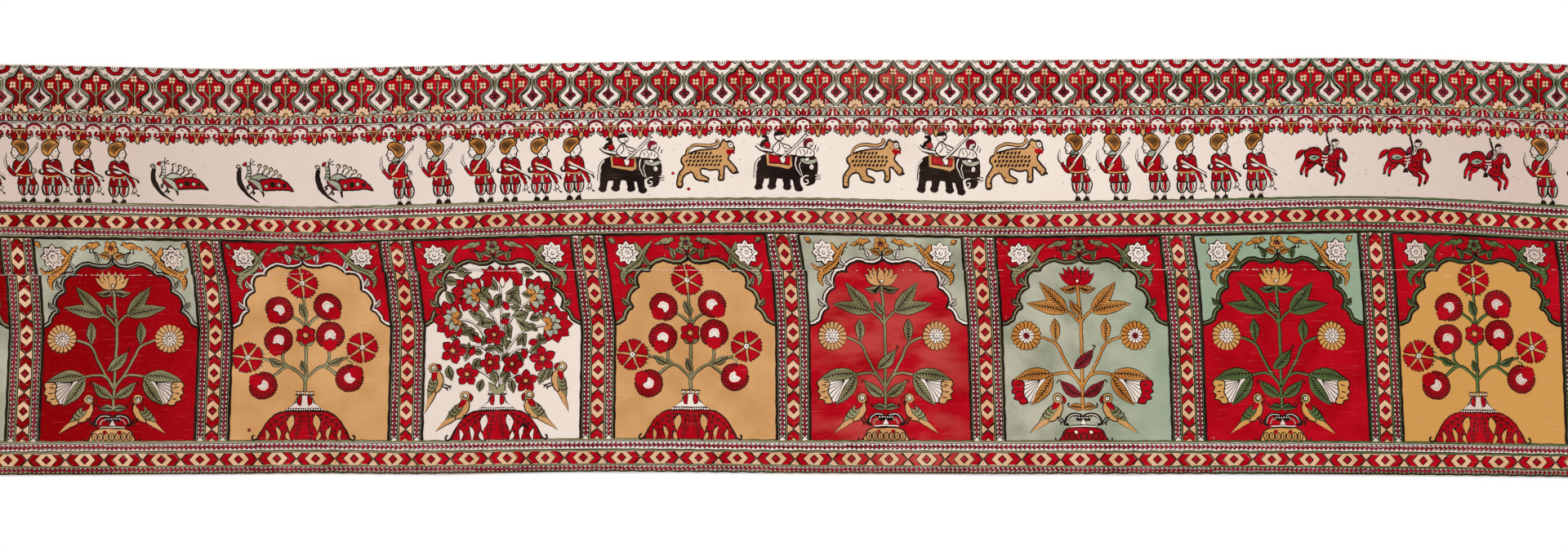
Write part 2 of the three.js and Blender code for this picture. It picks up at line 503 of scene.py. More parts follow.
def round_flower(pen, r, dye, heart, k=0):
    """Round flower with blunt rays and a white star at its heart"""
    pen.fill("black", [(x * (1.05 if i % 3 else 0.97), y * (1.05 if i % 3 else 0.97))
                       for i, (x, y) in enumerate(ring(0, 0, r, 54))], k)
    pen.fill(dye, [(x * (1 if i % 3 else 0.93), y * (1 if i % 3 else 0.93))
                   for i, (x, y) in enumerate(ring(0, 0, r, 54))], k + 1)
    for i in range(18):
        a = math.radians(20 * i)
        ray = [(r * f * math.cos(a), r * f * math.sin(a)) for f in (0.5, 0.75, 0.96)]
        pen.line("black", ray, 0.5, k + 2, ends=(0.6, 1, 1.4))
    star = [(r * f * math.cos(a), r * f * math.sin(a))
            for f, a in ((0.58 if i % 2 else 0.44, math.radians(15 * i)) for i in range(24))]
    pen.fill("white", star, k + 3, edge=0.3)
    for i in range(12):
        a = math.radians(30 * i)
        pen.line("black", [(r * f * math.cos(a), r * f * math.sin(a)) for f in (0.24, 0.42)], 0.25, k + 5)
    pen.dot(heart, 0, 0, r * 0.19, k + 5, rim=0.4, n=9)
    pen.dot("black", 0, 0, r * 0.06, k + 7, n=6)


def parakeet(pen, k=0):
    """Ring-eyed parakeet facing right, tail down to the left"""
    pen.leaf("ochre", (-2, 20), (-35, 43), 6.5, k, bend=1.5, rim=0.6, blunt=0.7)
    pen.blob("ochre", "3 4, 5.5 12, 3 20, -4 27, -12 28, -8 20, -5 10, -3 4", k + 1, edge=0.7, n=4)
    pen.leaf("green", (-2, 8), (-23, 28), 10, k + 2, bend=-1, rim=0.6, blunt=0.8)
    for t in (0.35, 0.52, 0.69):
        x, y = -2 - 21 * t, 8 + 20 * t
        pen.line("black", [(x - 3, y - 3.4), (x - 1.5, y + 1), (x + 3, y + 3)], 0.7, k + 4)
    pen.leaf("red", (1, 4), (-8, 14), 6, k + 4, rim=0.5)
    pen.dot("ochre", 0, 0, 5.6, k + 4, rim=0.7, n=12)
    pen.dot("green", 0, 0, 4.2, k + 5, n=12)
    pen.dot("white", 0, 0, 2.4, k + 6, rim=0.6, n=8)
    pen.dot("black", 0.2, 0, 0.9, k + 8, n=6)
    pen.blob("red", "5 -2.5, 8.6 0, 8.6 4.4, 6.4 7, 5.6 3", k + 5, edge=0.5)
    for x in (-1, 3):
        pen.line("black", [(x - 1, 23), (x + 3, 29), (x + 6, 30)], 1, k + 3)
        pen.line("black", [(x + 3, 29), (x + 3.5, 33)], 0.9, k + 3)


def small_bird(pen, dye, k=0):
    pen.leaf(dye, (-9, 1), (8, -1), 6.8, k, bend=-1, rim=0.8, blunt=1.3)
    for x in (-5, -2, 1):
        pen.line("black", [(x - 1.6, -1), (x, 0.4), (x - 1.6, 2)], 0.2, k + 2)
    pen.leaf(dye, (-3, 0), (-13, 3), 3.4, k + 1, rim=0.5)
    pen.dot(dye, 8, -3, 2.6, k + 1, rim=0.6, n=8)
    pen.dot("black", 8.4, -3.4, 0.6, k + 4, n=5)
    pen.line("black", "10 -2.6, 13 -1.6", 0.8, k + 3)
    for x in (-1, 3):
        pen.line("black", [(x, 3), (x - 1, 7), (x + 1.5, 7.4)], 0.7, k + 2)


def four_petals(pen, x, y, r, dye, k=0):
    for dx, dy in ((-1, -1), (1, -1), (-1, 1), (1, 1)):
        pen.dot(dye, x + dx * r, y + dy * r, r, k, n=7)
    pen.dot("black", x, y, r * 0.42, k + 1, n=5)


def frieze_repeat(pen):
    """One trefoil cartouche and the drop to its right, from the top edge down"""
    shoulder = curve(P("0 2.5, 3.6 8, 9.2 14.6"))
    lobe = curve(P("9.2 14.6, 15.6 16.6, 19 21.6, 18.4 28.4, 14 34, 9.6 37.4"))
    skirt = curve(P("9.6 37.4, 8.6 41, 11.2 46, 17 50.4, 22.2 56.6"))
    half = shoulder + lobe + skirt
    whole = mirrored(half) + half[1:]
    pen.fill("red", [(x * 0.95, y * 0.985 + 1) for x, y in whole], 1)
    pen.line("black", whole, 4, 2, n=0)
    pen.line("pale", whole, 2.6, 3, n=0)
    pen.line("green", [(x * 1.03, y - 0.5) for x, y in whole], 0.7, 4, n=0)
    pen.line("black", [(x * 0.96, y + 0.5) for x, y in whole], 0.6, 5, n=0)
    pen.cord("green", "0 50, 0.4 36, 0 20", 1.5, 3)
    for s in (-1, 1):
        pen.cord("green", [(0, 37), (s * 4, 32.5), (s * 8, 28)], 1.1, 3)
        pen.line("black", [(s * 4.6, 42.6), (s * 6.6, 42)], 1.1, 3)
        pen.line("black", [(s * 2.6, 47), (s * 4.4, 38), (s * 7.6, 36.4)], 0.6, 3)
        pen.line("black", [(s * 8.5, 47.5), (s * 9.6, 54)], 1.4, 3)
        pen.line("white", [(s * 9.5, 48.5), (s * 10.6, 54)], 0.6, 5)
        pen.leaf("pale", (s * 10, 57), (s * 20, 55.6), 3.6, 5, bend=-0.6 * s, rim=0.4)
        tile = [(s * 12 - 1.7, 11), (s * 12 + 1.7, 10.6), (s * 12 + 1.7, 14), (s * 12 - 1.5, 14.2)]
        pen.fill("pale", tile, 1, edge=0.7)
        pen.leaf("pale", (s * 4.6, 1.6), (s * 11, 2), 3, 1, bend=0.6 * s, rim=0.4)
    for x, y in P("0 15.4, -9.4 25.6, 9.4 25.6"):
        pen.dot("black", x, y, 4.4, 4, n=8)
        four_petals(pen, x, y, 1.9, "tan", 5)
    pen.petals("tan", 0, 57.6, 2, 9.6, 6, 4, 6, start=-172, span=164, rim=0.5)
    pen.dot("ochre", 0, 58, 2, 8, rim=0.4, n=8)
    drop = pen.at(23.2, 0)
    outer = [(x * (1 if i % 2 else 0.9), y) for i, (x, y) in enumerate(ring(0, 1.5, 11.6, 21, 0, 180,
                                                                            ry=10))]
    drop.fill("red", outer + ring(0, 1.5, 5.6, 9, 180, 0), 1, edge=0.3)
    for x in (-3.4, 0, 3.4):
        drop.line("black", [(x, 1.5), (x * 0.6, 5)], 0.4, 1)
    drop.fill("pale", "-2.6 20, 0 15, 2.6 20", 1, edge=0.8)
    drop.cord("green", "0 19.6, 0 27, 0 34", 1.6, 1)
    for a in (0, 90, 180, 270):
        leaf = drop.at(0, 40, turn=a)
        leaf.blob("maroon", "0 0, 2.7 -2.2, 2.4 -4.4, 0 -6.6, -2.4 -4.4, -2.7 -2.2", 1, edge=0.4, n=2)
    drop.dot("black", 0, 40, 0.9, 3, n=6)


def petal_band(pen, count=5, pitch=6.5):
    """Slanted petals that lean both ways from a red drop"""
    pen.leaf("red", (0, 68.4), (0, 60), 4.6, 1, rim=0.5)
    for s in (-1, 1):
        for i in range(count):
            x = 3 + i * pitch
            petal = [(x, 68.3), (x - 0.2, 65), (x + 2.6, 61.4), (x + 6, 60), (x + 5.6, 63), (x + 4.6, 68.3)]
            pen.fill("pale" if i % 2 else "red", curve([(s * a, b) for a, b in petal], True, 2), 1,
                     edge=0.5)
            pen.line("white", [(s * (x + 1.6), 67.4), (s * (x + 3), 63.4)], 0.7, 3)


def scallop(pen):
    """One pendant flower and the cloud head to its right"""
    for s in (-1, 1):
        pen.leaf("white", (s * 11.5, 81), (s * 15.5, 87.5), 5, 1, rim=0.5, blunt=1.3)
        pen.leaf("pale", (s * 8, 80.6), (s * 12.4, 90), 5.4, 2, rim=0.5, blunt=1.35)
        pen.leaf("red", (s * 3.6, 80), (s * 8, 92), 6.6, 3, rim=0.5, blunt=1.35)
        pen.leaf("white", (s * 2, 77.6), (s * 9, 71.6), 4, 2, rim=0.5)
        pen.leaf("pale", (s * 5.4, 78), (s * 11, 75), 3.4, 2, rim=0.5)
    pen.blob("ochre", "-5 80, 5 80, 2.4 86, 2.8 90.6, 0 94.6, -2.8 90.6, -2.4 86", 5, edge=0.7)
    pen.fill("maroon", "-2.8 80.4, 2.8 80.4, 0.2 86, -0.2 86", 7, edge=0.3)
    pen.fill("red", "-3 78, 0 72.6, 3 78", 4, edge=0.4)
    pen.cord("ochre", "-9.6 79.3, 0 79.3, 9.6 79.3", 1.3, 6)
    cloud = pen.at(18.2, 0)
    cloud.blob("white", "-8 82, -7.4 76, 0 72.6, 7.4 76, 8 82, 4 85, 0 80, -4 85", 4)
    cloud.line("black", "-9.6 81, -7.8 75.2, 0 72, 7.8 75.2, 9.6 81", 2.8, 5)
    cloud.line("maroon", "-9.4 80.6, -7.6 75.4, 0 72.4, 7.6 75.4, 9.4 80.6", 2.2, 6)
    for s in (-1, 1):
        cloud.line("black", [(s * 9.2, 80), (s * 8, 85.4), (s * 3.4, 85), (s * 3.6, 81.6), (s * 5.8, 82)],
                   2.3, 7)
        cloud.line("red", [(s * 9.2, 80), (s * 8, 85), (s * 3.8, 84.8), (s * 3.8, 82), (s * 5.6, 82)], 2, 8)
    cloud.leaf("maroon", (-2, 75.6), (2.4, 77.2), 1.8, 6, rim=0)


def band(top, bottom, dye, k, x0=LEFT, x1=RIGHT):
    facet(dye, [(x0, top), (x1, top), (x1, bottom), (x0, bottom)], k)


def diamond(pen, dye, x, y, w, h, k=0, edge=0.0):
    pen.fill(dye, [(x, y - h), (x + w, y), (x, y + h), (x - w, y)], k, edge=edge)


def chevrons(pen, along, h, k):
    """One repeat of the diamond and chevron band, centred on a diamond. along: half the pitch"""
    for s in (-1, 1):
        near, far = s * 6.8, s * (along - 8)
        pen.fill("red", [(near, -h), (far, -h), (far + s * 6.6, 0), (far, h), (near, h),
                         (near + s * 6.6, 0)], k)
        for x, reach in ((near, 6.4), (far, 6.6), (far + s * 1.6, 6.4)):
            pen.line("black", [(x, -h), (x + s * reach, 0), (x, h)], 0.55, k + 1, n=0)
        pen.dot("maroon", s * along, s * 4.6, 0.6, k, n=5)
    diamond(pen, "red", 0, 0, 5, 5, k + 1, edge=1.1)
    diamond(pen, "maroon", 0, 0, 1.9, 1.9, k + 3)


def border(y, dark):
    """A printed border: two rows of small diamonds with a chevron band between"""
    band(y - 1, y + 42, "white", 4)
    for at, w in ((-0.2, 1.8), (13, 1.5), (30.6, 1.5)):
        band(y + at - w / 2 - 0.6, y + at + w / 2 + 0.6, "black", 5)
        band(y + at - w / 2, y + at + w / 2, "green", 6)
    for at, w in ((2, 0.8), (11, 0.8), (38, 0.9), (dark - 0.4, 3.4)):
        band(y + at, y + at + w, "black", 5)
    band(y + dark - 1.9, y + dark - 0.4, "green", 5)
    band(y + 14.6, y + 29, "tan", 5)
    pitch = 46.6
    count = int((RIGHT - LEFT) / pitch) + 2
    for i in range(count):
        if i % 2 == 0:
            slip(0.7)
        chevrons(Pen(LEFT + 8 + i * pitch, y + 21.8 + random.uniform(-0.3, 0.3)), pitch / 2, 7.2, 6)
    for row, first in ((y + 6.6, 2.2), (y + 34.6, 0.6)):
        for i in range(int((RIGHT - LEFT) / 5.62)):
            x = LEFT + first + i * 5.62
            if i % 16 == 0:
                slip(0.7)
            diamond(Pen(x, row), "maroon", 0, 0, 2.5, 3, 6)
            for s in (-1, 1):
                Pen(x, row).line("black", [(-2.8, s * 0.3), (0, s * 3.5), (2.8, s * 0.3)], 0.35, 5, n=0)
            Pen(x + 2.8, row).dot("black", 0, 0, 0.8, 6, n=4)


def column(x):
    """An upright between two niches"""
    top, low = MID_BORDER_END + 1, FOOT - 1
    WINDOW[2:] = [top, low]

    def strip(a, b, dye, k):
        facet(dye, [(x + a, top), (x + b, top), (x + b, low), (x + a, low)], k)

    strip(-21, 21, "white", 6)
    strip(-7.6, 7.6, "tan", 7)
    for s in (-1, 1):
        for at, w, dye in ((20.3, 3.4, "black"), (18.3, 1.2, "green"), (17.4, 1.1, "black"),
                           (10.3, 1.1, "black"),
                           (9, 1.4, "green"), (7.8, 1.2, "black")):
            strip(s * at - w / 2, s * at + w / 2, dye, 8)
        for i in range(int((low - top) / 5.55)):
            if i % 9 == 0:
                slip(0.8)
            y = top + 2.6 + i * 5.55
            diamond(Pen(x + s * 13.9, y), "maroon", 0, 0, 2.6, 2.7, 9)
            for side in (-1, 1):
                reach = Pen(x + s * 13.9 + side * 3.1, y + 2.8)
                reach.line("black", [(0, -2.8), (-side * 2.8, 0), (0, 2.8)], 0.85, 8, n=0)
    slip(0.6)
    for i in range(-1, 6):
        y = 313 + 47.3 * i
        if top - 14 < y < low + 12:
            chevrons(Pen(x, y).at(0, 0, turn=90), 23.6, 7.2, 8)
    WINDOW[2:] = [TOP + 0.5, BOTTOM - 0.5]


# A niche: half its width, and the lobes of its arch from the apex to the left foot
FIELD_HALF = 102
ARCH_LOBES = (
    "0 314.6, -2.6 318.6, -8.4 321.8, -16.5 322.4, -22.5 321.6",
    "-22.5 321.6, -30 319.4, -38 321, -45.5 325.4, -50.6 331.6",
    "-50.6 331.6, -57.6 331.4, -64.4 336, -67.6 344, -66.4 352.6",
    "-66.4 352.6, -72.6 356, -77.6 362.6, -78.8 370, -75.8 377.6",
    "-75.8 377.6, -80.4 379.8, -84.6 385.6, -87 392, -94.4 396.6",
)
ARCH_LEFT = [p for lobe in ARCH_LOBES for p in curve(P(lobe))[:-1]] + [(-94.4, 396.6), (-FIELD_HALF, 398)]
ARCH = ARCH_LEFT[::-1] + [(-x, y) for x, y in ARCH_LEFT[1:]]


def acanthus(pen, dye, k=0):
    """Curling leaf of the left spandrel, forked at both ends, drawn from the niche's axis"""
    body = P("-41 299, -48.6 305.6, -54.6 315, -63 324.6, -75 330.6, -84 330, -89.6 323.6")
    arms = body, P("-61.6 299.6, -59 306.6, -54 313.6"), P("-70 329, -80 335.6, -82.6 343, -79.6 351")
    widths = (8, (0.15, 1, 0.1)), (6.4, (0.1, 0.9, 1)), (6.6, (1, 0.95, 0.1))
    for path, (w, ends) in zip(arms, widths):
        pen.line("black", path, w + 1.8, k, ends=[share + 0.1 for share in ends])
    for path, (w, ends) in zip(arms, widths):
        pen.line(dye, path, w, k + 1, ends=ends)
    for i in range(14):
        t = i / 13
        x, y = -46 - 34 * t, 303 + 28 * t ** 0.8
        for s in (-1, 1):
            pen.line("black", [(x + s * 3.6, y + s * 2.8), (x + s * 1 - 1.2, y + s * 0.6 + 1.2)], 0.3,
                     k + 2, ends=(1.4, 1, 0.5))
    pen.line("black", "-50 308, -56 316.6, -64 325, -76 330.6", 0.2, k + 2)
    for x, y in P("-81 337, -82 341, -81.4 345"):
        pen.line("black", [(x - 2.6, y), (x + 0.6, y + 1)], 0.2, k + 2)


def spandrel(pen, dye, leaf_dye, bird_dye, rim_dye):
    """The field over the arch, with its rosettes, leaves and birds"""
    corner = [(-FIELD_HALF, MID_BORDER_END), (FIELD_HALF, MID_BORDER_END)]
    pen.fill(dye, corner + ARCH[::-1], 1)
    pen.line("black", ARCH, 5.8, 2, n=0)
    pen.line(rim_dye, ARCH, 3, 3, n=0)
    inner = [(x * 0.985, y + 0.9) for x, y in ARCH]
    pen.line("black", inner, 1, 4, n=0)
    for s in (-1, 1):
        side = pen.at(0, 0, flip=-s)
        rosette(side.at(-72.5, 311.4), 3)
        acanthus(side, leaf_dye, 3)
        small_bird(side.at(-25, 299.6), bird_dye, 3)
        side.leaf(leaf_dye, (-3, 313.6), (-15, 309), 7, 3, bend=2, rim=0.6, veins=2)
        side.leaf(rim_dye, (-17, 319), (-22, 306), 6.4, 3, bend=2.4, rim=0.7, veins=2)
        for a, b in (((-47, 327), (-52, 315)), ((-68, 350), (-74, 339)), ((-77, 374), (-86, 366))):
            side.leaf(rim_dye, a, b, 6, 3, bend=-2.4, rim=0.7, veins=2)
        side.leaf(leaf_dye, (-86, 300), (-93, 294.6), 5, 3, rim=0.6)
        side.dot(leaf_dye, -89.6, 296.6, 2.6, 4, rim=0.6, n=6)
    pen.line("black", "0 316, 0 306", 2.2, 4)
    for x, y in P("-5.4 302.6, 5.4 302.6, -3.4 296.6, 3.4 296.6, 0 306"):
        pen.dot(leaf_dye, x, y, 3, 4, rim=0.7, n=9)
        pen.line("black", [(x * 0.5, (y + 301.4) / 2), (x * 0.9, y * 0.9 + 30.1)], 0.5, 6)
    pen.dot("maroon", 0, 301, 1.6, 7, rim=0.5, n=7)


def plant_lily(pen, leaf, flower, accent, heart, k=0):
    """Tall plant of forked leaves, round flowers and trumpet bells in a low vase, with two birds"""
    stem = 2.8
    pen.cord(leaf, "0 500, 0 470, 0.8 430, 0.6 394, 0 350", stem, k)
    for s in (-1, 1):
        side = pen.at(0, 0, flip=s)
        side.cord(leaf, "0 397, 7 388, 17 380", 2.2, k)
        for tip, bend in (((45.5, 347), 1), ((62.5, 373), -1)):
            side.leaf(leaf, (14, 383), tip, 15, k + 1, bend=bend, veins=7, blunt=0.8)
        side.cord(leaf, "0 474, 11 458, 22 438, 29.6 422, 47 413.6", 2.3, k)
        side.leaf(leaf, (30, 420), (30.6, 391.6), 11, k + 1, veins=4, blunt=1.15)
        round_flower(side.at(65.5, 412), 17.4, flower, heart, k + 2)
        side.cord(leaf, "0 476, 8 462, 20 457, 38 460", 2.3, k)
        side.fill("white", "42 461, 81 467, 78 482, 70 494, 60 493", k + 1, edge=0.8)
        for x, y in P("80 470, 79 476, 77 481, 74 486, 70 490, 66 493"):
            side.line("black", [(50, 466), (x - 3, y - 1)], 0.4, k + 3, ends=(0.5, 1, 1))
        mouth = curve(P("70 468, 82 466, 85 471, 82.6 475, 85 480, 81 484, 82.6 489, 77 490.6, 74 495,"
                        "66 493, 71 482"), True)
        side.fill(accent, mouth, k + 3, edge=0.8)
        for x, y in P("76 472, 77 480, 74 487"):
            side.line("black", [(x - 2.4, y), (x + 2.6, y + 0.6)], 0.8, k + 5)
        side.leaf(leaf, (35.6, 459), (82, 465.6), 14, k + 4, bend=-3.4, veins=6, blunt=0.8)
        side.leaf(leaf, (35.6, 460), (62, 496), 13, k + 4, bend=3, veins=6, blunt=0.8)
        side.leaf(leaf if heart == "white" else "maroon", (1, 486), (26, 466.4), 12, k + 2, bend=2.5,
                  veins=4)
        side.line("black", "26 466, 29 467, 29.6 470", 0.9, k + 2)
        side.leaf(leaf, (2, 352), (21, 354), 8, k + 1, bend=3, veins=2)
        side.leaf(leaf, (2, 352), (14, 357), 6, k + 1, bend=2, veins=2)
        for tip, w in (((20.4, 336), 8), ((15, 329.6), 8), ((8, 328), 7)):
            side.leaf(accent, (1, 350), tip, w, k + 2, bend=1.6, rim=0.6)
            side.line("black", [(tip[0] * 0.55, tip[1] * 0.55 + 157.5),
                                (tip[0] * 0.8, tip[1] * 0.8 + 70)], 0.4, k + 4)
    pen.leaf(accent, (0, 350), (0, 328), 9, k + 5, rim=0.6)
    pen.dot("white", 0, 345, 1.7, k + 7, rim=0.5, n=7)
    pen.leaf(leaf, (3, 386), (-10, 369), 9, k + 2, bend=-2, veins=3)
    pen.leaf(leaf if heart == "white" else "maroon", (-9, 452), (14, 429), 13, k + 3, bend=2, veins=5)
    pen.line("black", "14 429, 17 425, 13.6 424", 0.9, k + 3)


def vase_low(pen, bowl, collar, k=0):
    """Low vase: leafy collar, scrolled neck and petalled bowl"""
    for s in (-1, 1):
        side = pen.at(0, 0, flip=s)
        side.leaf(collar, (0, 501), (16, 499.6), 8, k, bend=-2, veins=3)
        side.line("black", "14 499.6, 18 497, 16 494", 1.2, k)
        side.line("black", "2 509, 12 508, 19 512, 22 519, 17 520.6", 4, k, ends=(1, 1, 0.7))
        side.line("white", "4 508.6, 12 507.8, 18 511.6, 20.6 518", 0.9, k + 1, ends=(1, 1, 0.5))
        side.line("pale", "9 513, 13 514, 15.6 519", 1.1, k + 1)
    pen.fill("black", "-11 508.6, 11 508.6, 8 516, -8 516", k)
    for x in (-8, -4.8, -1.6, 1.6, 4.8, 8):
        pen.dot("white", x, 511.4, 0.9, k + 1, n=6)
    pen.fill("white", "0 512.6, 4.4 520.4, -4.4 520.4", k + 2, edge=0.7)
    pen.cord("white", "-15 522.2, 0 521.8, 15 522.2", 1.3, k + 1)
    half = P("15 524, 23 528, 26.6 535, 31 541")
    outline = mirrored(curve(half)) + curve(half)
    pen.fill(bowl, outline, k + 1, edge=0.9)
    for x in (-21, -14, -7, 0, 7, 14, 21):
        pen.line("black", ring(x, 534.6, 3.1, 10, ry=5), 0.7, k + 3, closed=True, n=0)
        pen.line("black", [(x, 532), (x, 538)], 0.5, k + 3)
    for s in (-1, 1):
        pen.dot("red" if bowl != "red" else "white", s * 9, 529, 2.1, k + 3, rim=0.4, n=7)
        pen.line("black", [(s * 27, 539), (s * 33, 540.4), (s * 34, 536.4)], 1.2, k + 2)


def vase_tall(pen, eye, k=0):
    """Footed vase: ringed collar, flared neck, bead row and a skirt of red acanthus"""
    pen.fill("white", "-8 484, 8 484, 11 493, 20 500.6, -20 500.6, -11 493", k, edge=0.8)
    for s in (-1, 1):
        pen.fill("red", curve([(s * 3.4, 485.6), (s * 7, 485.6), (s * 9, 493), (s * 4.6, 497)], True, 2),
                 k + 1, edge=0.5)
    pen.cord(eye, "-11.6 481.8, 0 481.6, 11.6 481.8", 3.6, k + 2, rim=0.7)
    for x in (-8.6, -3, 3, 8.6):
        pen.dot("white", x, 481.7, 1.4, k + 4, rim=0.5, n=7)
    half = curve(P("17 503.6, 29 505, 40 512, 49 524, 57.4 540.4"))
    pen.fill("red", mirrored(half) + half, k + 1, edge=0.9)
    for s in (-1, 1):
        side = pen.at(0, 0, flip=s)
        for x0, x1, y1, w, bend in ((12, 54, 538, 13, -5), (9, 40, 541, 13, -4), (6, 25, 541, 12, -3),
                                    (3, 9, 541, 8, -1)):
            side.leaf("red", (x0, 505), (x1, y1), w, k + 3, bend=bend, rim=0.6, veins=3, blunt=0.75)
        for path, w, bend in (("16.6 530, 13.6 509", 8.6, 1), ("30 541.6, 33 523", 4.6, -2),
                              ("45 541.6, 45 527", 4.2, -2),
                              ("15 541.6, 19.6 530", 4.6, 1.6)):
            side.leaf(eye, *P(path), w, k + 6, bend=bend, rim=0.6, blunt=1.3)
        side.line("black", "16 528, 20 532, 18 537, 13 541", 1.2, k + 6)
        side.line("black", "54 537, 60 540, 62 536, 59.6 533.6", 1.6, k + 5)
    for i in range(15):
        pen.dot("white", -21 + 3 * i, 502, 1.2, k + 8, rim=0.3, n=6)


def plant_carnation(pen, k=0):
    """Branching plant of carnations and wheel-shaped flowers"""
    for s in (-1, 1):
        side = pen.at(0, 0, flip=s)
        side.cord("green", "0 400, 7 391, 18 384", 2.2, k)
        side.cord("green", "0 466, 9 455, 23 448, 40 461", 2.4, k)
        side.cord("green", "21 449, 28 440, 27.6 427", 2.2, k)
        side.cord("green", "25 447, 38 442, 52 437", 2, k)
        side.leaf("green", (28, 446), (44, 437), 8, k + 2, bend=2, veins=3)
        side.line("green", "49 432, 54 430, 52 426", 1.8, k + 1)
        side.line("green", "50 441, 56 444, 53 448", 1.8, k + 1)
        side.leaf("green", (1, 422), (9, 417), 4, k + 1, rim=0.6)
    pen.cord("green", "0 482, 0 450, 0 414", 2.8, k)
    pen.cord("green", "0 402, 0 380, 0 362", 2.2, k)
    pen.leaf("green", (2, 456), (-5, 441), 7, k + 2, bend=-1, veins=3)
    pen.leaf("green", (1, 388), (-5, 370), 9, k + 2, veins=3)
    for s in (-1, 1):
        pen.line("green", [(0, 362), (s * 6, 359), (s * 9, 363)], 2, k + 1)
    for x, y, r, turn in ((-31, 377, 17, 42), (28, 373.6, 17, -42), (-34, 415, 17.4, 12),
                          (28.6, 409.6, 17.4, 0),
                          (-51, 471.4, 17.2, 128), (53.6, 463, 17, -132)):
        carnation(pen.at(x, y, turn=turn), r, k + 3)
    for x, y, start in ((0.4, 344, 30), (-71, 436, 8), (68, 425, 24)):
        wheel_flower(pen.at(x, y), 19.4, k + 3, start=start)
    pen.petals("red", -1, 409, 2, 12, 6, 8, k + 3, start=-90, rim=0.6)
    pen.dot("ochre", -1, 409, 2.8, k + 6, rim=0.6, n=8)


def red_flower(pen, r, k=0):
    """Simple five-petalled flower"""
    pen.petals("red", 0, 0, r * 0.1, r, 5, r * 0.66, k - 1, start=-90, rim=0.6, blunt=1.2, lap=2)
    pen.dot("ochre", 0, 0, r * 0.18, k + 3, rim=0.4, n=7)
    for i in range(5):
        a = math.radians(-90 + 72 * i)
        pen.line("black", [(r * f * math.cos(a), r * f * math.sin(a)) for f in (0.2, 0.6)], 0.6, k + 3)


def great_flower(pen, k=0):
    """Large red flower, its pale inner petals turned to the right"""
    pen.petals("red", 0, 0, 2, 23, 7, 14, k - 2, start=70, span=225, rim=0.6, blunt=1.05, lap=2)
    for i in range(7):
        a = math.radians(70 + 37.5 * i)
        pen.line("black", [(f * math.cos(a), f * math.sin(a)) for f in (14, 20)], 0.4, k + 2,
                 ends=(1, 1, 0.3))
    pen.petals("pale", 6, 0, 2, 16, 6, 8, k + 2, start=95, span=170, rim=0.6, blunt=1, lap=2)
    pen.petals("orange", 9, 0, 1, 9, 5, 5, k + 5, start=85, span=190, rim=0.5, lap=1)


def plant_bouquet(pen, k=0):
    """Dense bouquet of red flowers and olive leaves"""
    for path in ("0 482, 1 440, 4 400, 8 350", "0 480, -8 440, -24 424, -50 430",
                 "2 480, 12 440, 30 428, 52 440",
                 "2 446, -12 420, -30 396, -48 392", "5 440, 24 412, 44 402, 62 400",
                 "4 410, -8 384, -24 362",
                 "6 404, 24 384, 46 366", "-2 470, -20 456, -36 456", "4 472, 24 460, 36 466"):
        pen.cord("white", P(path), 1.4, k, rim=0.55)
    leaves = ("-6 372 -22 354 13, 14 372 30 350 13, 4 356 -12 340 11, 24 352 36 336 9, -14 392 -34 382 13,"
              "20 388 38 384 13,"
              "-4 396 -26 398 11, 26 396 42 404 11, -30 404 -46 410 9, 34 410 24 424 10,"
              "-24 418 -38 408 10, 48 418 62 414 9,"
              "6 424 2 406 9, -40 442 -36 420 9, 40 432 52 420 9, -22 440 -30 452 8, 30 446 22 432 9,"
              "6 432 -6 424 8,"
              "-52 372 -60 356 10, -44 346 -62 344 10, -46 330 -26 333 12, 38 330 50 336 11,"
              "70 376 78 388 8, -18 466 -22 480 8,"
              "18 466 20 482 8, -60 448 -56 466 9, 60 454 52 472 10, 66 452 62 466 7, -2 470 -9 454 9,"
              "6 470 14 456 9,"
              "-2 378 6 362 9, 10 396 16 410 9, 30 374 18 362 10, -36 372 -20 376 10, 52 390 40 392 9,"
              "-10 410 -20 424 8")
    for row in leaves.split(","):
        x0, y0, x1, y1, w = (float(n) for n in row.split())
        pen.leaf("green", (x0, y0), (x1, y1), w, k + 1, bend=1.2, rim=0.8, veins=3)
    for i in range(34):
        a = math.radians(137.5 * i)
        r = math.sqrt((i + 0.5) / 34)
        x, y = 3 + 60 * r * math.cos(a), 404 + 54 * r * math.sin(a)
        turn = a + 1.1
        tip = (x + 12 * math.cos(turn), y + 12 * math.sin(turn))
        pen.leaf("green", (x, y), tip, 7, k + 1, bend=1, rim=0.6, veins=2)
    for x, y, turn in ((-30, 360, 10), (53, 362, 172), (-57, 391, -4), (68, 398, 178)):
        great_flower(pen.at(x, y, turn=turn), k + 4)
    for x, y, turn in ((0, 341, -150), (22, 341, -30)):
        pen.at(x, y, turn=turn).petals("red", 0, 0, 1, 15, 4, 8, k + 4, start=-70, span=130, rim=0.6)
    for x, y in P("2 333, 12 330, 22 333"):
        pen.leaf("red", (11, 348), (x, y - 4), 8, k + 6, rim=0.6)
    pen.leaf("white", (11, 352), (11, 340), 6, k + 7, rim=0.5)
    for x, y, r, turn in ((-55, 430, 15.5, 20), (-37, 459, 14, 4), (-9, 445, 13, -20), (18, 447, 13, 16),
                          (55, 441, 16, -10),
                          (35, 468, 14, 0), (-5, 411, 13, 10)):
        red_flower(pen.at(x, y, turn=turn), r, k + 5)
    for x0, y0, x1, y1 in ((-4, 376, -8, 366), (14, 380, 10, 370), (-22, 420, -30, 412),
                           (-34, 436, -30, 424), (34, 440, 30, 428),
                           (38, 422, 48, 418), (4, 396, 14, 392)):
        pen.leaf("red", (x0, y0), (x1, y1), 7, k + 5, rim=0.6)
    pen.leaf("green", (0, 484), (-10, 470), 8, k + 5, rim=0.7)
    pen.leaf("green", (0, 484), (10, 470), 8, k + 5, rim=0.7)


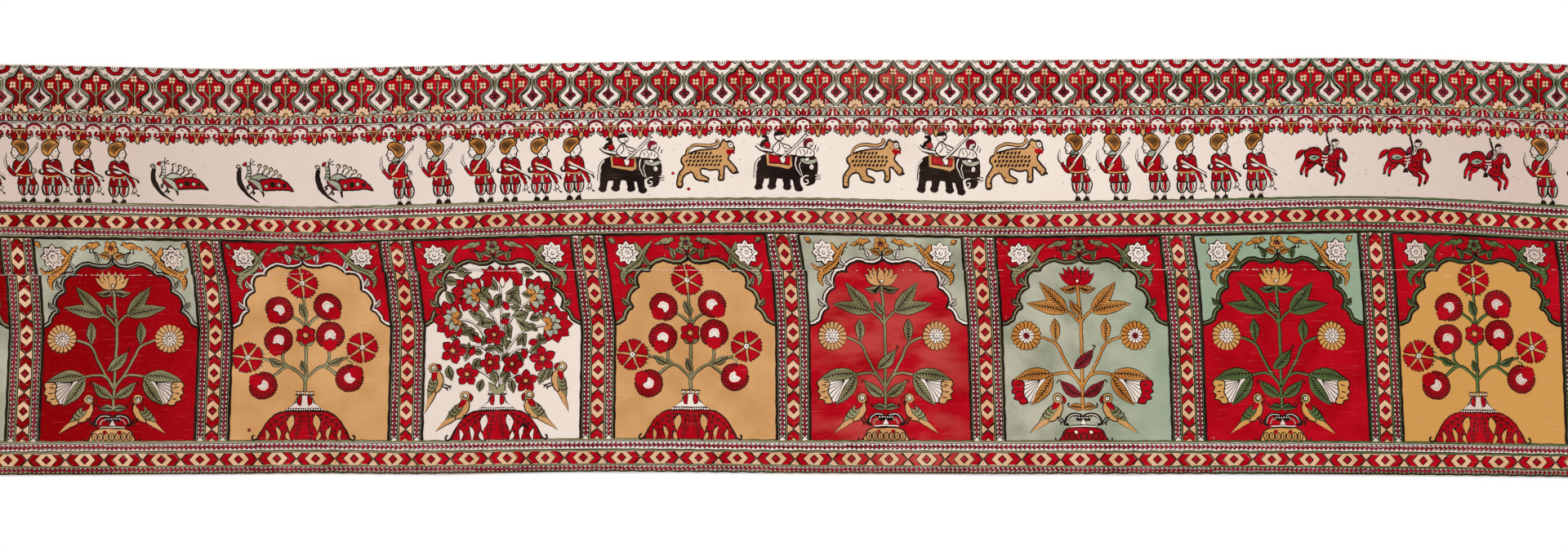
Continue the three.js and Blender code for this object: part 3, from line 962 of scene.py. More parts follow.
# Niches from left to right: field, spandrel, spandrel leaf, small bird, arch line, plant
NICHES = [
    ("pale", "red", "green", "green", "green", "orange"),
    ("red", "pale", "orange", "orange", "pale", "lily"),
    ("ochre", "red", "green", "green", "white", "carnation"),
    ("white", "red", "green", "green", "green", "bouquet"),
    ("ochre", "red", "green", "green", "green", "carnation"),
    ("red", "pale", "orange", "orange", "white", "lily"),
    ("pale", "red", "green", "green", "green", "orange"),
    ("red", "pale", "orange", "orange", "green", "lily"),
    ("ochre", "red", "green", "green", "green", "carnation"),
]


def niche(index, field, over, leaf, bird, rim, plant):
    slip(0.5)
    middle = (LEAN[index][0] + LEAN[index + 1][0]) / 2 / MM + MID_X
    pen = Pen(middle, 0)
    if field != "white":
        pen.fill(field, ARCH + [(FIELD_HALF, FOOT), (-FIELD_HALF, FOOT)], 0)
    spandrel(pen, over, leaf, bird, rim)
    stem = pen.at(-6, 0)
    if plant in ("lily", "orange"):
        orange = plant == "orange"
        flower = "orange" if orange else "ochre"
        plant_lily(stem, flower if orange else "green", flower, "red" if orange else "ochre",
                   "maroon" if orange else "white", 2)
        vase_low(stem, "red" if orange else "ochre", flower if orange else "green", 2)
        for s in (-1, 1):
            parakeet(stem.at(s * 29.5, 488, flip=-s), 3)
    else:
        (plant_carnation if plant == "carnation" else plant_bouquet)(stem, 2)
        vase_tall(stem, "white" if plant == "bouquet" else "ochre", 3)
    if plant == "bouquet":
        for s in (-1, 1):
            parakeet(stem.at(s * 79, 451, flip=-s, turn=s * 30), 3)
            parakeet(stem.at(s * 39, 485.4, flip=-s), 3)


def turban(pen, x, y, k, flip=1):
    """Turban wound in slanting folds"""
    wrap = P("-8.6 -2, -10 -5.6, -5.6 -10, 2.6 -10, 9 -5.6, 10.4 1.4, 7 8, 1.6 9, -2 4.6, -4.6 0.6")
    pen.fill("orange", curve([(x + flip * a, y + b) for a, b in wrap], True), k, edge=0.9)
    for i in range(7):
        away = 1.5 * i
        fold = [(-8 + away * 0.9, -4.4 - away * 0.5), (-3 + away * 0.9, -2 - away * 0.4),
                (1.4 + away * 0.75, 2.4 - away * 0.5), (3 + away * 0.6, 7 - away * 0.6)]
        pen.line("black", [(x + flip * a, y + b) for a, b in fold], 0.3, k + 2, ends=(0.6, 1.3, 0.5))


def soldier_legs(pen, k, lean=0):
    """Belt, flared skirt, puffed and striped breeches, and shoes"""
    for x, foot in ((-6 + lean, -1), (6 + lean, 1)):
        pen.cord("white", [(x, -10), (x + 0.4, -6), (x + 0.6, -3)], 2, k, rim=0.4)
        shoe = [(x - 4 - foot, -0.6), (x - 1.4, -4.8), (x + 2, -4.6), (x + 4 - foot, -1), (x + 3, 0.8),
                (x - 3, 1)]
        pen.blob("black", shoe, k + 2, n=2)
        puff = [(x - 5, -22.6), (x + 5, -22.6), (x + 5.8, -16), (x + 3.4, -9.6), (x - 3.2, -9.6),
                (x - 5.8, -16)]
        pen.blob("white", puff, k + 1, edge=1, n=2)
        pen.line("red", [(x - 0.2, -22), (x - 0.2, -16), (x, -10)], 3, k + 3, ends=(1, 1.1, 0.7))
        pen.line("pale", [(x + 3, -21.6), (x + 3.4, -16), (x + 2, -11)], 1.5, k + 3, ends=(1, 1, 0.5))
        for side, bow in ((-2, -0.5), (1.7, 0.4), (-4, -0.9)):
            pen.line("black", [(x + side, -22), (x + side + bow, -16), (x + side * 0.6, -10)], 0.3, k + 5)
    skirt = P("-10 -33, 8 -33, 12 -23, 10 -21.6, -11 -21.6, -11.6 -24")
    pen.fill("red", [(x + lean * 0.6, y) for x, y in skirt], k + 4, edge=1)
    pen.fill("pale", [(x + lean * 0.6, y) for x, y in P("-0.6 -32, 2.6 -32, 3.4 -22, -0.6 -22")], k + 6,
             edge=0.4)
    for x in (-9, 4):
        flap = [(x + lean * 0.4, -32.4), (x + 5.4 + lean * 0.4, -32.4), (x + 2.4 + lean * 0.4, -28)]
        pen.fill("white", flap, k + 6, edge=0.4)
    for x in (-8, -4, 6):
        pen.line("black", [(x + lean * 0.5, -29), (x + lean * 0.6, -23)], 0.2, k + 6)
    pen.cord("ochre", [(-10.4, -33.6), (0, -32.4), (9.4, -34)], 1.7, k + 7, rim=0.4)


def soldier_left(pen, k=2):
    """Foot soldier facing left, sabre raised, musket on the shoulder"""
    soldier_legs(pen, k, 4)
    pen.dot("white", 10.4, -39, 3, k + 1, rim=0.6, n=9)
    pen.line("black", "10 -41, 12 -39, 10.6 -37", 0.4, k + 3)
    coat = P("-15 -46, -12 -52, -4 -54, 4 -53, 7.6 -47, 8 -38, 8.6 -33.6, -8.6 -33.6, -10 -40, -14 -40")
    pen.blob("red", coat, k + 1, edge=1.1)
    pen.line("pale", "4 -52, 6.4 -46, 6 -39", 1.6, k + 3)
    pen.line("black", "4.4 -52, 5 -45, 4.4 -36", 0.5, k + 4)
    face = P("-12 -71, -15.4 -69, -16.4 -64, -18 -62, -16.2 -60.6, -15.4 -56.4, -11 -55, -5 -57, -3 -65")
    pen.blob("white", face, k + 1, edge=0.7)
    pen.blob("pale", "-11 -56, -5 -59, -1 -57, -4 -52, -9 -51.4", k + 2, edge=0.5, n=2)
    pen.dot("black", -13, -64.4, 0.7, k + 3, n=6)
    pen.line("black", "-15.6 -58.6, -13 -58.2", 0.3, k + 3)
    pen.line("black", "-10 -57, -7.6 -60.6", 0.3, k + 3)
    turban(pen, -6.4, -68, k + 4)
    pen.cord("red", "-12.6 -46, -11.4 -36, -14 -34.6, -19.4 -41", 2.9, k + 2, rim=0.7)
    pen.dot("red", -20.4, -42, 1.6, k + 4, rim=0.6, n=7)
    pen.cord("white", "-21 -43.6, -24.4 -50, -23.4 -60.6", 1.6, k + 3, ends=(1, 1.2, 0.3))
    pen.line("black", "-23 -44, -18.6 -45", 0.6, k + 5)
    pen.cord("white", "-11 -37.6, 1 -54, 14.6 -70.6", 2, k + 6, rim=0.6, ends=(1.1, 1, 0.7))
    pen.line("black", "11.6 -69.6, 14.6 -67.6", 0.3, k + 8)
    pen.line("black", "14 -70, 15.4 -74.6", 0.6, k + 6)
    pen.cord("tan", "-11.4 -36.6, -4.6 -44", 2.8, k + 8, rim=0.5)


def soldier_right(pen, k=2):
    """Foot soldier facing right, musket held low"""
    soldier_legs(pen, k)
    pen.dot("black", -13, -38.4, 4, k, n=9)
    pen.dot("white", -12.6, -38.8, 1.6, k + 2, n=7, ry=2.4)
    coat = P("-12 -46, -10 -52, -5 -54, 0 -50.4, 5 -54, 9.6 -51.6, 11.4 -45, 10 -39, 9 -33.6, -9.4 -33.6,"
             "-10.6 -40")
    pen.blob("red", coat, k + 1, edge=1.1)
    pen.strokes("-9.6 -48, -9 -40, -7 -36; 7.4 -49, 8 -42, 6.6 -36; -6 -51.6, 0 -46, 6 -51.6", 0.5, k + 3)
    face = P("3 -71, 6.6 -69, 7.8 -64, 9.4 -62, 7.6 -60.6, 7 -56.4, 3 -54.6, -3 -53, -5 -59, -3 -66")
    pen.blob("white", face, k + 1, edge=0.7)
    pen.dot("black", 4.4, -64.4, 0.7, k + 3, n=6)
    pen.line("black", "7 -58.6, 4.4 -58.2", 0.3, k + 3)
    pen.line("black", "1.4 -56.6, -1 -60", 0.3, k + 3)
    pen.dot("orange", 4.4, -75.4, 3.6, k + 3, rim=0.6, n=9)
    turban(pen, -2.6, -68, k + 4, -1)
    pen.line("black", "3 -77.6, 5.4 -75, 4.4 -72.6", 0.4, k + 6)
    pen.cord("red", "10 -44, 12 -35, 18 -24.6", 3, k + 3, rim=0.7)
    pen.dot("red", 18.4, -22.4, 1.6, k + 4, rim=0.6, n=7)
    pen.blob("white", "-7 -42, 0 -41.6, 5 -39, 1 -36.6, -5 -38.6", k + 3, edge=0.8, n=2)
    pen.cord("tan", "-7 -47, -1 -43.4", 3, k + 5, rim=0.6)
    pen.cord("white", "-3 -45, 10 -38, 23.6 -30.6", 1.8, k + 6, rim=0.6)
    pen.line("black", "18 -34, 22 -30, 24.6 -26.4", 1.6, k + 5, ends=(0.5, 1, 1))
    pen.strokes("19 -20.6, 17 -16, 20.6 -13; 20 -20, 22 -16, 20 -14, 23 -11; 14.6 -12, 17.6 -14,"
                "18 -10.6", 0.3, k + 2)
    pen.dot("black", 23.6, -10, 1.7, k + 2, n=7, ry=1.1)


def rider_head(pen, x, y, r, k, cap="black"):
    pen.dot("white", x, y, r, k, rim=0.8, n=10)
    pen.fill(cap, ring(x, y, r + 0.8, 8, 175, 345), k + 2)
    pen.dot("black", x + r * 0.3, y + 0.2, 0.7, k + 2, n=5)
    pen.line("black", [(x + r * 0.2, y + r * 0.55), (x + r * 0.8, y + r * 0.5)], 0.7, k + 2)


def elephant(pen, k=2):
    """Elephant walking right, with a driver and a rider in a curved seat"""
    pen.cord("white", "-30 -42, -35.6 -34, -37.6 -17", 1.6, k, rim=0.5, ends=(1, 1.1, 0.6))
    for pts in ("-29 -26, -30.6 -14, -32 -6", "-14 -24, -14.6 -14, -16 -6.6", "1 -24, 2 -14, 3 -6",
                "13 -26, 14.6 -12, 17 -4"):
        x, y = P(pts)[-1]
        pen.line("black", P(pts), 8.6, k, ends=(1.3, 1, 0.9))
        pen.dot("black", x, y, 5.4, k, n=10, ry=4.2)
    body = P("-34 -30, -32.4 -40, -26 -46, -8 -46, 10 -46, 22 -46, 33 -46, 39 -41, 40.4 -30, 39.4 -20,"
             "36 -11, 30 -7.4,"
             "25 -8, 23 -12, 21 -18, 16 -15, 4 -15, -12 -17, -26 -16, -33 -20")
    pen.blob("black", body, k)
    pen.fill("ochre", "-23 -47.6, 8.6 -44, 9.4 -31, 4 -28, -22 -33", k + 1)
    pen.line("black", "-23 -47.6, -22 -33, 4 -28, 9.4 -31, 8.6 -44", 0.3, k + 2, n=0)
    pen.fill("red", "-19.6 -46, 7 -43, 5.6 -33.4, -19 -36", k + 2, edge=0.8)
    pen.blob("white", "-6 -43, 0 -43.6, 1 -38, -2 -35, -5 -38", k + 4, edge=0.6)
    pen.line("black", "-30 -55, -27 -61, -22.4 -63.6, -23 -69, -28 -68.6", 4, k + 2, ends=(0.8, 1.2, 0.7))
    pen.blob("red", "-26 -56.6, -24.6 -61, -20 -62.6, -17.6 -57, -20 -54.6", k + 3, edge=0.4, n=2)
    pen.cord("white", "-34.6 -58.6, -30 -54, -21 -51.6, -12 -50.6", 2.4, k + 4, rim=0.9)
    pen.line("black", "-31 -52.4, -22 -48.4, -15 -47.6", 0.8, k + 4)
    pen.blob("white", "-15 -52, -12 -59, -7 -62.6, -3 -59.6, 5 -57, 8 -52, 3 -47, -8 -46", k + 5, edge=0.9)
    pen.strokes("-7 -61, -6 -55, -10 -50; -3 -58, 0 -54, 5 -53; -1 -51, 4 -49", 0.6, k + 7)
    rider_head(pen, -7, -69.4, 5.6, k + 6)
    pen.cord("white", "-3 -43, 14 -58, 27.6 -72.6", 1.7, k + 7, rim=0.6)
    pen.line("black", "24.6 -72, 28.6 -69.4", 0.4, k + 9)
    pen.blob("white", "14 -45, 16 -53, 23 -55, 33 -52, 36 -46, 30 -42.6, 22 -44", k + 3, edge=0.5)
    pen.strokes("18 -52, 20 -47; 22 -53, 25 -48, 23 -45; 28 -52, 27 -47; 32 -50, 31 -46; 36 -52, 38 -58;"
                "39 -50, 41 -55", 0.4, k + 5)
    rider_head(pen, 29, -60, 5, k + 5, "maroon")
    pen.blob("maroon", "23 -62, 26 -65.6, 28 -63, 26.6 -57, 24 -56", k + 8, edge=0.4, n=2)
    pen.blob("pale", "18.6 -40, 24 -36, 32 -34.6, 39 -38, 38 -41, 30 -39, 22 -42", k + 1, n=2)
    pen.blob("white", "24 -41, 29 -42, 30 -39, 26 -37.6", k + 3, edge=0.3, n=2)
    pen.line("white", "14 -43, 12.4 -34, 16 -25, 19 -20", 1, k + 1, ends=(1.6, 1, 0.7))
    pen.line("white", "19 -37, 17.6 -31, 20 -23, 22 -15", 0.8, k + 1, ends=(1.3, 1, 0.6))
    pen.dot("white", 32.4, -30.4, 2.4, k + 1, n=8, ry=3)
    pen.dot("pale", 32.6, -30, 1, k + 3, n=6)
    pen.line("white", "29 -20, 24 -19, 21 -14, 24 -9.6, 28 -11, 27.6 -14.6, 25 -14", 1.6, k + 1,
             ends=(0.7, 1, 0.7))
    for y in (-20.6, -17):
        pen.cord("white", [(37, y), (43.6, y + 0.6)], 1, k, rim=0.4)


def leopard(pen, k=2):
    """Spotted cat springing right, its tail over its back"""
    body = ("-30 -38, -25 -42, -14 -46, -4 -48, 8 -48.6, 14 -50, 18 -56, 20.6 -60, 24 -57.6, 30 -58,"
            "33 -52, 34 -47, 29 -42, 27 -36,"
            "31 -31, 37 -24, 36 -19, 32 -18, 27 -24, 22 -27, 21.6 -17, 20.6 -10, 15 -10.4, 16 -17,"
            "13.6 -23, 5 -22, -6 -24.6,"
            "-6 -17, 2 -12.6, 1.6 -8.6, -6 -8.8, -13 -11, -17 -19, -24 -18, -29 -12, -29.6 -2, -35.4 -2,"
            "-34.6 -16, -27.6 -27, -31 -33")
    pen.fill("ochre", curve(P(body), True, 3), k, edge=1.5)
    tail = P("-25 -41, -22 -49, -12 -54, 2 -52.6, 10 -54, 14.6 -58, 11.4 -60")
    pen.line("black", tail, 4.2, k + 2, ends=(0.7, 1, 0.8))
    pen.line("ochre", tail, 2.3, k + 3, ends=(0.7, 1, 0.8))
    for row, (y, x0, x1) in enumerate(((-43.6, -18, 14), (-39, -22, 22), (-34, -24, 22), (-29, -24, 20))):
        for i in range(int((x1 - x0) / 4.6)):
            x = x0 + 4.6 * i + 2.3 * (row % 2)
            pen.leaf("black", (x - 1.6, y + 2), (x + 1.8, y - 2), 2.7, k + 2, rim=0)
    for x, y in P("-29 -24, -32 -16, -31 -8, -20 -22, -12 -15, 18 -16, 26 -27, 31 -22, 18 -53, 22 -50"):
        pen.dot("black", x, y, 0.9, k + 2, n=5)
    pen.blob("white", "26 -56, 31 -56.4, 33 -51, 28 -50", k + 2, edge=0.6)
    pen.dot("black", 29.6, -53.6, 1, k + 4, n=6)
    pen.blob("red", "24 -48, 29 -48.6, 34.6 -46, 33 -42.6, 30.6 -44.6, 28 -41.6, 25 -44", k + 3)
    for x, y in P("37 -19, 18 -9.4, 0 -8, -32.6 -1.4"):
        for dx in (-1.8, 0, 1.8):
            pen.line("black", [(x + dx, y - 1.6), (x + dx, y + 1.2)], 1.1, k + 2)


def peacock(pen, k=2):
    """Peacock facing left with a snake in its beak"""
    pen.line("black", "-29 -14, -30.4 -8, -29.6 1, -25 11, -17 20, -5 27.6", 5.4, k, ends=(0.8, 1.15, 0.1))
    pen.strokes("-31.6 -15, -33.4 -17, -31 -19.6, -28.4 -18; -31 -15.6, -29 -16, -27 -14.6", 0.6, k + 2)
    pen.dot("white", -29.6, -16.4, 1.8, k, rim=0.3, n=8)
    pen.dot("black", -29.8, -17, 0.4, k + 2, n=5)
    for i, (x, y) in enumerate(P("-5 -18.4, 2.6 -17, 9 -14.4, 15 -11, 20 -5.6")):
        root = (-8 + i * 4.8, -5 + i * 0.9)
        pen.line("black", [root, ((x + root[0]) / 2, (y + root[1]) / 2), (x - 0.6, y + 2.4)], 1.1, k,
                 ends=(1.6, 1.2, 0.5))
        pen.line("white", [root, ((x + root[0]) / 2 + 0.6, (y + root[1]) / 2)], 0.6, k + 1)
        pen.dot("pale", x, y, 2, k, rim=0.6, n=10)
        pen.dot("tan", x - 0.3, y + 0.2, 1.2, k + 2, n=8)
    tail = P("-8 3, -3 -0.6, 6 -2.6, 16 -3, 25 -0.4, 32 6, 37 13, 28 11, 16 11.6, 4 12, -4 11")
    pen.blob("red", tail, k + 1, edge=1.2)
    for x, y, r, dye in ((3.4, 6.4, 2, "pale"), (11.2, 5, 2.9, "black"), (18.8, 4.6, 2, "pale"),
                         (25.6, 6, 2, "black")):
        pen.dot(dye, x, y, r, k + 3, rim=0.5, n=10)
    belly = curve(P("-19 0, -12 -1, -5 4, -3 10, -8 11, -14 8.6"), True, 3)
    pen.fill("maroon", belly, k + 3, edge=0.8)
    pen.leaf("pale", (-16, -2.6), (5.6, -3), 5.6, k + 4, bend=-2.6, rim=0.8)
    pen.leaf("pale", (-18.6, -1.6), (-0.6, 17), 6, k + 6, bend=-4, rim=1)
    pen.line("black", "-3 13, -0.6 17, -0.4 20.4", 1.6, k + 7, ends=(0.6, 1.2, 0.5))
    pen.cord("pale", "-18.6 -18, -17.6 -10, -19.6 -1.6", 3.6, k + 5, rim=0.7, ends=(0.9, 1, 1.3))
    for y in (-13, -9, -5):
        pen.line("black", [(-20, y), (-15.8, y + 0.4)], 0.5, k + 7)
    pen.dot("white", -19, -20.2, 2.5, k + 6, rim=0.6, n=10)
    pen.dot("black", -18.8, -20, 0.7, k + 8, n=6)
    pen.blob("red", "-20.6 -22.6, -24 -22, -25.4 -18.4, -22.4 -18.6, -21 -19.6", k + 8, edge=0.4, n=2)
    for x, y in P("-15.6 -27, -12 -24.4, -11.2 -20.2"):
        pen.line("black", [(-17, -21), (x, y)], 0.2, k + 5)
        pen.dot("black", x, y, 0.9, k + 5, n=6)
    pen.strokes("-17 5, -21 8, -18 9.6, -21 11; -12 10, -13.6 14, -17 17; -14 14, -10.6 15.4, -13 17.6",
                1.2, k + 2, ends=(1.4, 1, 0.8))


def horse(pen, k=2):
    """Red horse galloping right with its rider"""
    pen.leaf("red", (-20, -43.6), (-31.6, -32), 5.6, k, bend=1.6, rim=0.7)
    pen.strokes("-28 -34, -24 -39, -21 -42; -30 -33, -26 -37", 0.2, k + 2)
    legs = ("-14 -34, -20 -27, -23.6 -22, -25 -15", "-10 -30, -15 -23, -18 -20, -19 -12.6",
            "8 -22, 13 -15, 18.6 -11, 17 -1.6", "17 -24, 22 -18, 27 -13, 24 -4")
    for pts in legs:
        pen.cord("red", P(pts), 3.6, k, rim=0.6, ends=(2, 1, 0.7))
        x, y = P(pts)[-1]
        pen.dot("black", x, y + 0.4, 1.9, k + 2, n=7)
    body = P("-21 -38, -18 -44, -12 -46.6, -4 -46, 0 -42, 4 -37, 9 -38, 14 -43, 20 -45.6, 26 -44, 30 -38,"
             "31 -31.6,"
             "28 -28.6, 26 -31, 23 -34.6, 20.6 -29, 20 -22, 17 -18, 12 -17, 6 -19, 1 -23, -5 -27, -11 -27,"
             "-17 -29, -20 -33")
    pen.blob("red", body, k + 3, edge=0.9)
    strokes = ("-17 -44, -15.6 -40.6; -13 -46, -12 -41.4; -8.6 -46, -8.6 -41.6; -4.6 -45, -5.4 -41;"
               "-1 -42, -3 -38.6; -18 -30, -12 -28, -6 -29; -4 -31, 0 -26, 6 -22; 12 -41, 13.6 -35;"
               "16 -44, 16.6 -37; 20 -45, 19.6 -39; 24 -44, 22.6 -41; 9 -36, 10 -30, 7 -25; 13 -33,"
               "15 -27, 12 -21; 18 -34, 19 -27, 16 -21; 21 -33, 21.6 -26; 6 -33, 12 -29, 20 -30; 8 -24,"
               "14 -22, 20 -24; 26 -34, 28 -33; 15 -15, 18 -12; 23 -17, 25 -13")
    pen.strokes(strokes, 0.5, k + 5, ends=(1.3, 1, 0.5))
    for x, y in P("11 -42, 14 -45, 18 -47, 22 -47, 26 -46"):
        pen.line("black", [(x + 1, y + 2.4), (x - 0.4, y - 0.6)], 0.9, k + 5, ends=(1.3, 1, 0.4))
    pen.blob("white", "22.6 -40, 25 -41, 25.6 -35, 23.6 -33, 22 -36", k + 5, edge=0.4, n=2)
    pen.dot("black", 26.8, -38.6, 0.6, k + 5, n=6)
    pen.leaf("pale", (-16.6, -34), (-2.8, -35), 6.4, k + 5, rim=0.7)
    pen.leaf("black", (-12.6, -34.2), (-5, -35), 1.8, k + 7, rim=0)
    for y in (-37, -33, -29):
        pen.cord("white", [(0, y), (4, y + 0.6), (7, y - 0.6)], 1.5, k + 5, rim=0.4)
    pen.cord("white", "4.6 -31, 3 -26, 1.4 -21.6", 2, k + 6, rim=0.5)
    pen.blob("black", "0 -22, 2.6 -21, 3.4 -16.6, -2.6 -16.4", k + 7, n=2)
    pen.blob("maroon", "2 -40, 4 -46, 8 -48.6, 9.6 -44, 7 -39", k + 6, edge=0.6, n=2)
    pen.blob("white", "8 -38, 8.6 -46, 12 -49, 15 -45, 13 -39", k + 6, edge=0.7)
    pen.strokes("10 -47, 10.6 -42, 9 -39; 12.6 -47, 13 -42", 0.5, k + 8)
    pen.line("black", "10 -48, 8 -54, 6.6 -59, 6 -62", 1.5, k + 6, ends=(1, 1.3, 0.6))
    pen.dot("black", 6, -62.6, 1.2, k + 6, n=6)
    rider_head(pen, 16.4, -53, 3.7, k + 7)


# The procession: motif, the level it stands on, and its places along the band
MARCH = [
    (soldier_left, 246, (-205, -155, -105, 31, 491, 539, 591, 1321, 1368, 1416, 1891)),
    (soldier_right, 246, (-60, -18, 64, 103, 146, 625, 663, 703, 1453, 1495, 1538, 1935)),
    (peacock, 215, (218, 323, 420)),
    (elephant, 239.6, (770, 961, 1160)),
    (leopard, 234, (865, 1068, 1243)),
    (horse, 233, (1618, 1720, 1818)),
]


# How far apart the blocks of the frieze, its petal band and its scallops are set
FRIEZE_PITCH, PETAL_PITCH, SCALLOP_PITCH = 46.45, 72.3, 36.2


def print_panel():
    """The whole print, from the top edge down"""
    slip(0)
    for x in np.arange(25 - FRIEZE_PITCH * 6, RIGHT + 40, FRIEZE_PITCH):
        slip(0.6)
        frieze_repeat(Pen(x, TOP - 0.4))
    slip(0)
    for y, w, dye in ((58.4, 1, "black"), (59.2, 0.9, "ochre"), (68.4, 0.7, "black"), (70.2, 0.5, "black")):
        band(TOP + y, TOP + y + w, dye, 9)
    for x in np.arange(983.4 - PETAL_PITCH * 17, RIGHT + 40, PETAL_PITCH):
        slip(0.5)
        petal_band(Pen(x, TOP))
    for x in np.arange(965 - SCALLOP_PITCH * 34, RIGHT + 40, SCALLOP_PITCH):
        slip(0.5)
        scallop(Pen(x, TOP))
    for motif, ground, places in MARCH:
        for x in places:
            slip(0.7)
            motif(Pen(x, ground + random.uniform(-1, 1)))
    slip(0)
    border(MID_BORDER, 41)
    border(FOOT, 38.4)
    for i, row in enumerate(NICHES):
        niche(i, *row)
    for x in LEAN[:, 0]:
        column(x / MM + MID_X)
    slip(0)
    specks = Pen(0, 0, 2)
    for x, y, r in ((824, 215, 2), (843, 235, 2.3)):
        specks.dot("red", x, y, r, n=7)
    specks.dot("maroon", 295, 527, 2, 20, n=9)
    for x, y, r in ((630, 522, 2.6), (632.4, 524.4, 1.7), (627, 520, 1.1), (634, 519, 0.8)):
        specks.dot("black", x, y, r, 20, n=8)
    for _ in range(220):
        x, y = random.uniform(LEFT + 5, RIGHT - 5), random.uniform(176, 244)
        specks.dot("black", x, y, random.uniform(0.3, 0.6), n=5)


print_panel()

# Cloth, dyes and thread. The print lies on the cloth, a little higher for each level, in mm
PRINT_LIFT, PRINT_LEVEL = 0.2, 0.08
STITCH_LEVEL, STITCH_CROWN = 14, 0.4
UV_NAME = "OFBake"
CAD_LOW = cad_box[0]
CAD_SIZE = cad_box[1] - cad_box[0]


def srgb(*rgb):
    """A colour in 0 to 255 steps, as the linear values that a shader takes"""
    linear = [c / 255 / 12.92 if c <= 10 else ((c / 255 + 0.055) / 1.055) ** 2.4 for c in rgb]
    return (*linear, 1)


def flat_map(mesh, low, high):
    """A bake map seen from above; faces that look down go to its upper half"""
    uv = mesh.uv_layers.new(name=UV_NAME)
    for face in mesh.polygons:
        down = face.normal.z < 0
        for loop in face.loop_indices:
            co = mesh.vertices[mesh.loops[loop].vertex_index].co
            v = low + (high - low) * (co.y - CAD_LOW.y) / CAD_SIZE.y
            uv.data[loop].uv = ((co.x - CAD_LOW.x) / CAD_SIZE.x, v + 0.5 if down and high < 1 else v)


def add_piece(name, points, faces, materials, half_map=False):
    mesh = bpy.data.meshes.new(name)
    mesh.from_pydata([tuple(p) for p in points], [], faces)
    mesh.update()
    flat_map(mesh, 0, 0.5 if half_map else 1)
    for material in materials:
        mesh.materials.append(material)
    mesh.polygons.foreach_set("use_smooth", [True] * len(mesh.polygons))
    piece = bpy.data.objects.new(name, mesh)
    bpy.context.scene.collection.objects.link(piece)
    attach(piece, "root")
    return piece


class Cotton:
    """A matte dyed-cotton material, built from noise in the part's own coordinates"""

    def __init__(self, name):
        self.material = bpy.data.materials.new(name)
        self.material.use_nodes = True
        self.tree = self.material.node_tree
        self.shader = self.tree.nodes["Principled BSDF"]
        self.shader.inputs["Roughness"].default_value = 0.92
        self.shader.inputs["Specular IOR Level"].default_value = 0.03
        self.place = self.tree.nodes.new("ShaderNodeTexCoord").outputs["Object"]

    def link(self, a, b):
        self.tree.links.new(a, b)

    def noise(self, scale, stretch=(1, 1, 1), detail=3.0):
        mapping = self.tree.nodes.new("ShaderNodeMapping")
        mapping.inputs["Scale"].default_value = stretch
        self.link(self.place, mapping.inputs["Vector"])
        node = self.tree.nodes.new("ShaderNodeTexNoise")
        node.inputs["Scale"].default_value = scale
        node.inputs["Detail"].default_value = detail
        self.link(mapping.outputs["Vector"], node.inputs["Vector"])
        return node.outputs["Fac"]

    def along(self, axis, low, high):
        """0 to 1 from one place to another along an axis"""
        node = self.tree.nodes.new("ShaderNodeSeparateXYZ")
        self.link(self.place, node.inputs[0])
        return self.remap(node.outputs[axis], low, high)

    def remap(self, value, low, high, top=1.0):
        node = self.tree.nodes.new("ShaderNodeMapRange")
        node.interpolation_type = "SMOOTHSTEP"
        for name, number in (("From Min", low), ("From Max", high), ("To Min", 0), ("To Max", top)):
            node.inputs[name].default_value = number
        self.link(value, node.inputs["Value"])
        return node.outputs["Result"]

    def times(self, a, b):
        node = self.tree.nodes.new("ShaderNodeMath")
        node.operation = "MULTIPLY"
        self.link(a, node.inputs[0])
        self.link(b, node.inputs[1])
        return node.outputs[0]

    def mix(self, share, a, b):
        """a to b by share; each is a socket or a colour"""
        node = self.tree.nodes.new("ShaderNodeMix")
        node.data_type = "RGBA"
        self.link(share, node.inputs["Factor"])
        for socket, value in ((node.inputs[6], a), (node.inputs[7], b)):
            if isinstance(value, tuple):
                socket.default_value = value
            else:
                self.link(value, socket)
        return node.outputs[2]

    def finish(self, colour, grain=0.35):
        """The weave as fine bands both ways, and the colour"""
        height = None
        for direction in ("X", "Y"):
            node = self.tree.nodes.new("ShaderNodeTexWave")
            node.bands_direction = direction
            node.inputs["Scale"].default_value = 260
            node.inputs["Distortion"].default_value = 0.6
            self.link(self.place, node.inputs["Vector"])
            if height is None:
                height = node.outputs["Fac"]
                continue
            joined = self.tree.nodes.new("ShaderNodeMath")
            self.link(height, joined.inputs[0])
            self.link(node.outputs["Fac"], joined.inputs[1])
            height = joined.outputs[0]
        bump = self.tree.nodes.new("ShaderNodeBump")
        bump.inputs["Strength"].default_value = grain
        bump.inputs["Distance"].default_value = 0.0002
        self.link(height, bump.inputs["Height"])
        self.link(bump.outputs["Normal"], self.shader.inputs["Normal"])
        self.link(colour, self.shader.inputs["Base Color"])
        return self.material


def ground(cotton, clean=(244, 229, 217), soiled=(212, 191, 178)):
    """The undyed cloth: paler at the middle of the panel, greyer and pinker to its ends"""
    left = cotton.mix(cotton.along("X", -1.65, 0.1), srgb(*soiled), srgb(*clean))
    both = cotton.mix(cotton.along("X", 0.75, 2.05), left, srgb(*soiled))
    blotch = cotton.remap(cotton.noise(5, detail=5), 0.45, 0.75, 0.3)
    return cotton.mix(blotch, both, srgb(*soiled))


def undyed(name):
    cotton = Cotton(name)
    thread = cotton.remap(cotton.noise(90, (1, 9, 1)), 0.4, 0.8, 0.16)
    return cotton.finish(cotton.mix(thread, ground(cotton), srgb(196, 172, 158)))


def back_cloth(name):
    """The unprinted side, with the dye showing through in soft patches"""
    cotton = Cotton(name)
    through = cotton.remap(cotton.noise(7, detail=4), 0.45, 0.75, 0.35)
    return cotton.finish(cotton.mix(through, ground(cotton), srgb(206, 160, 146)))


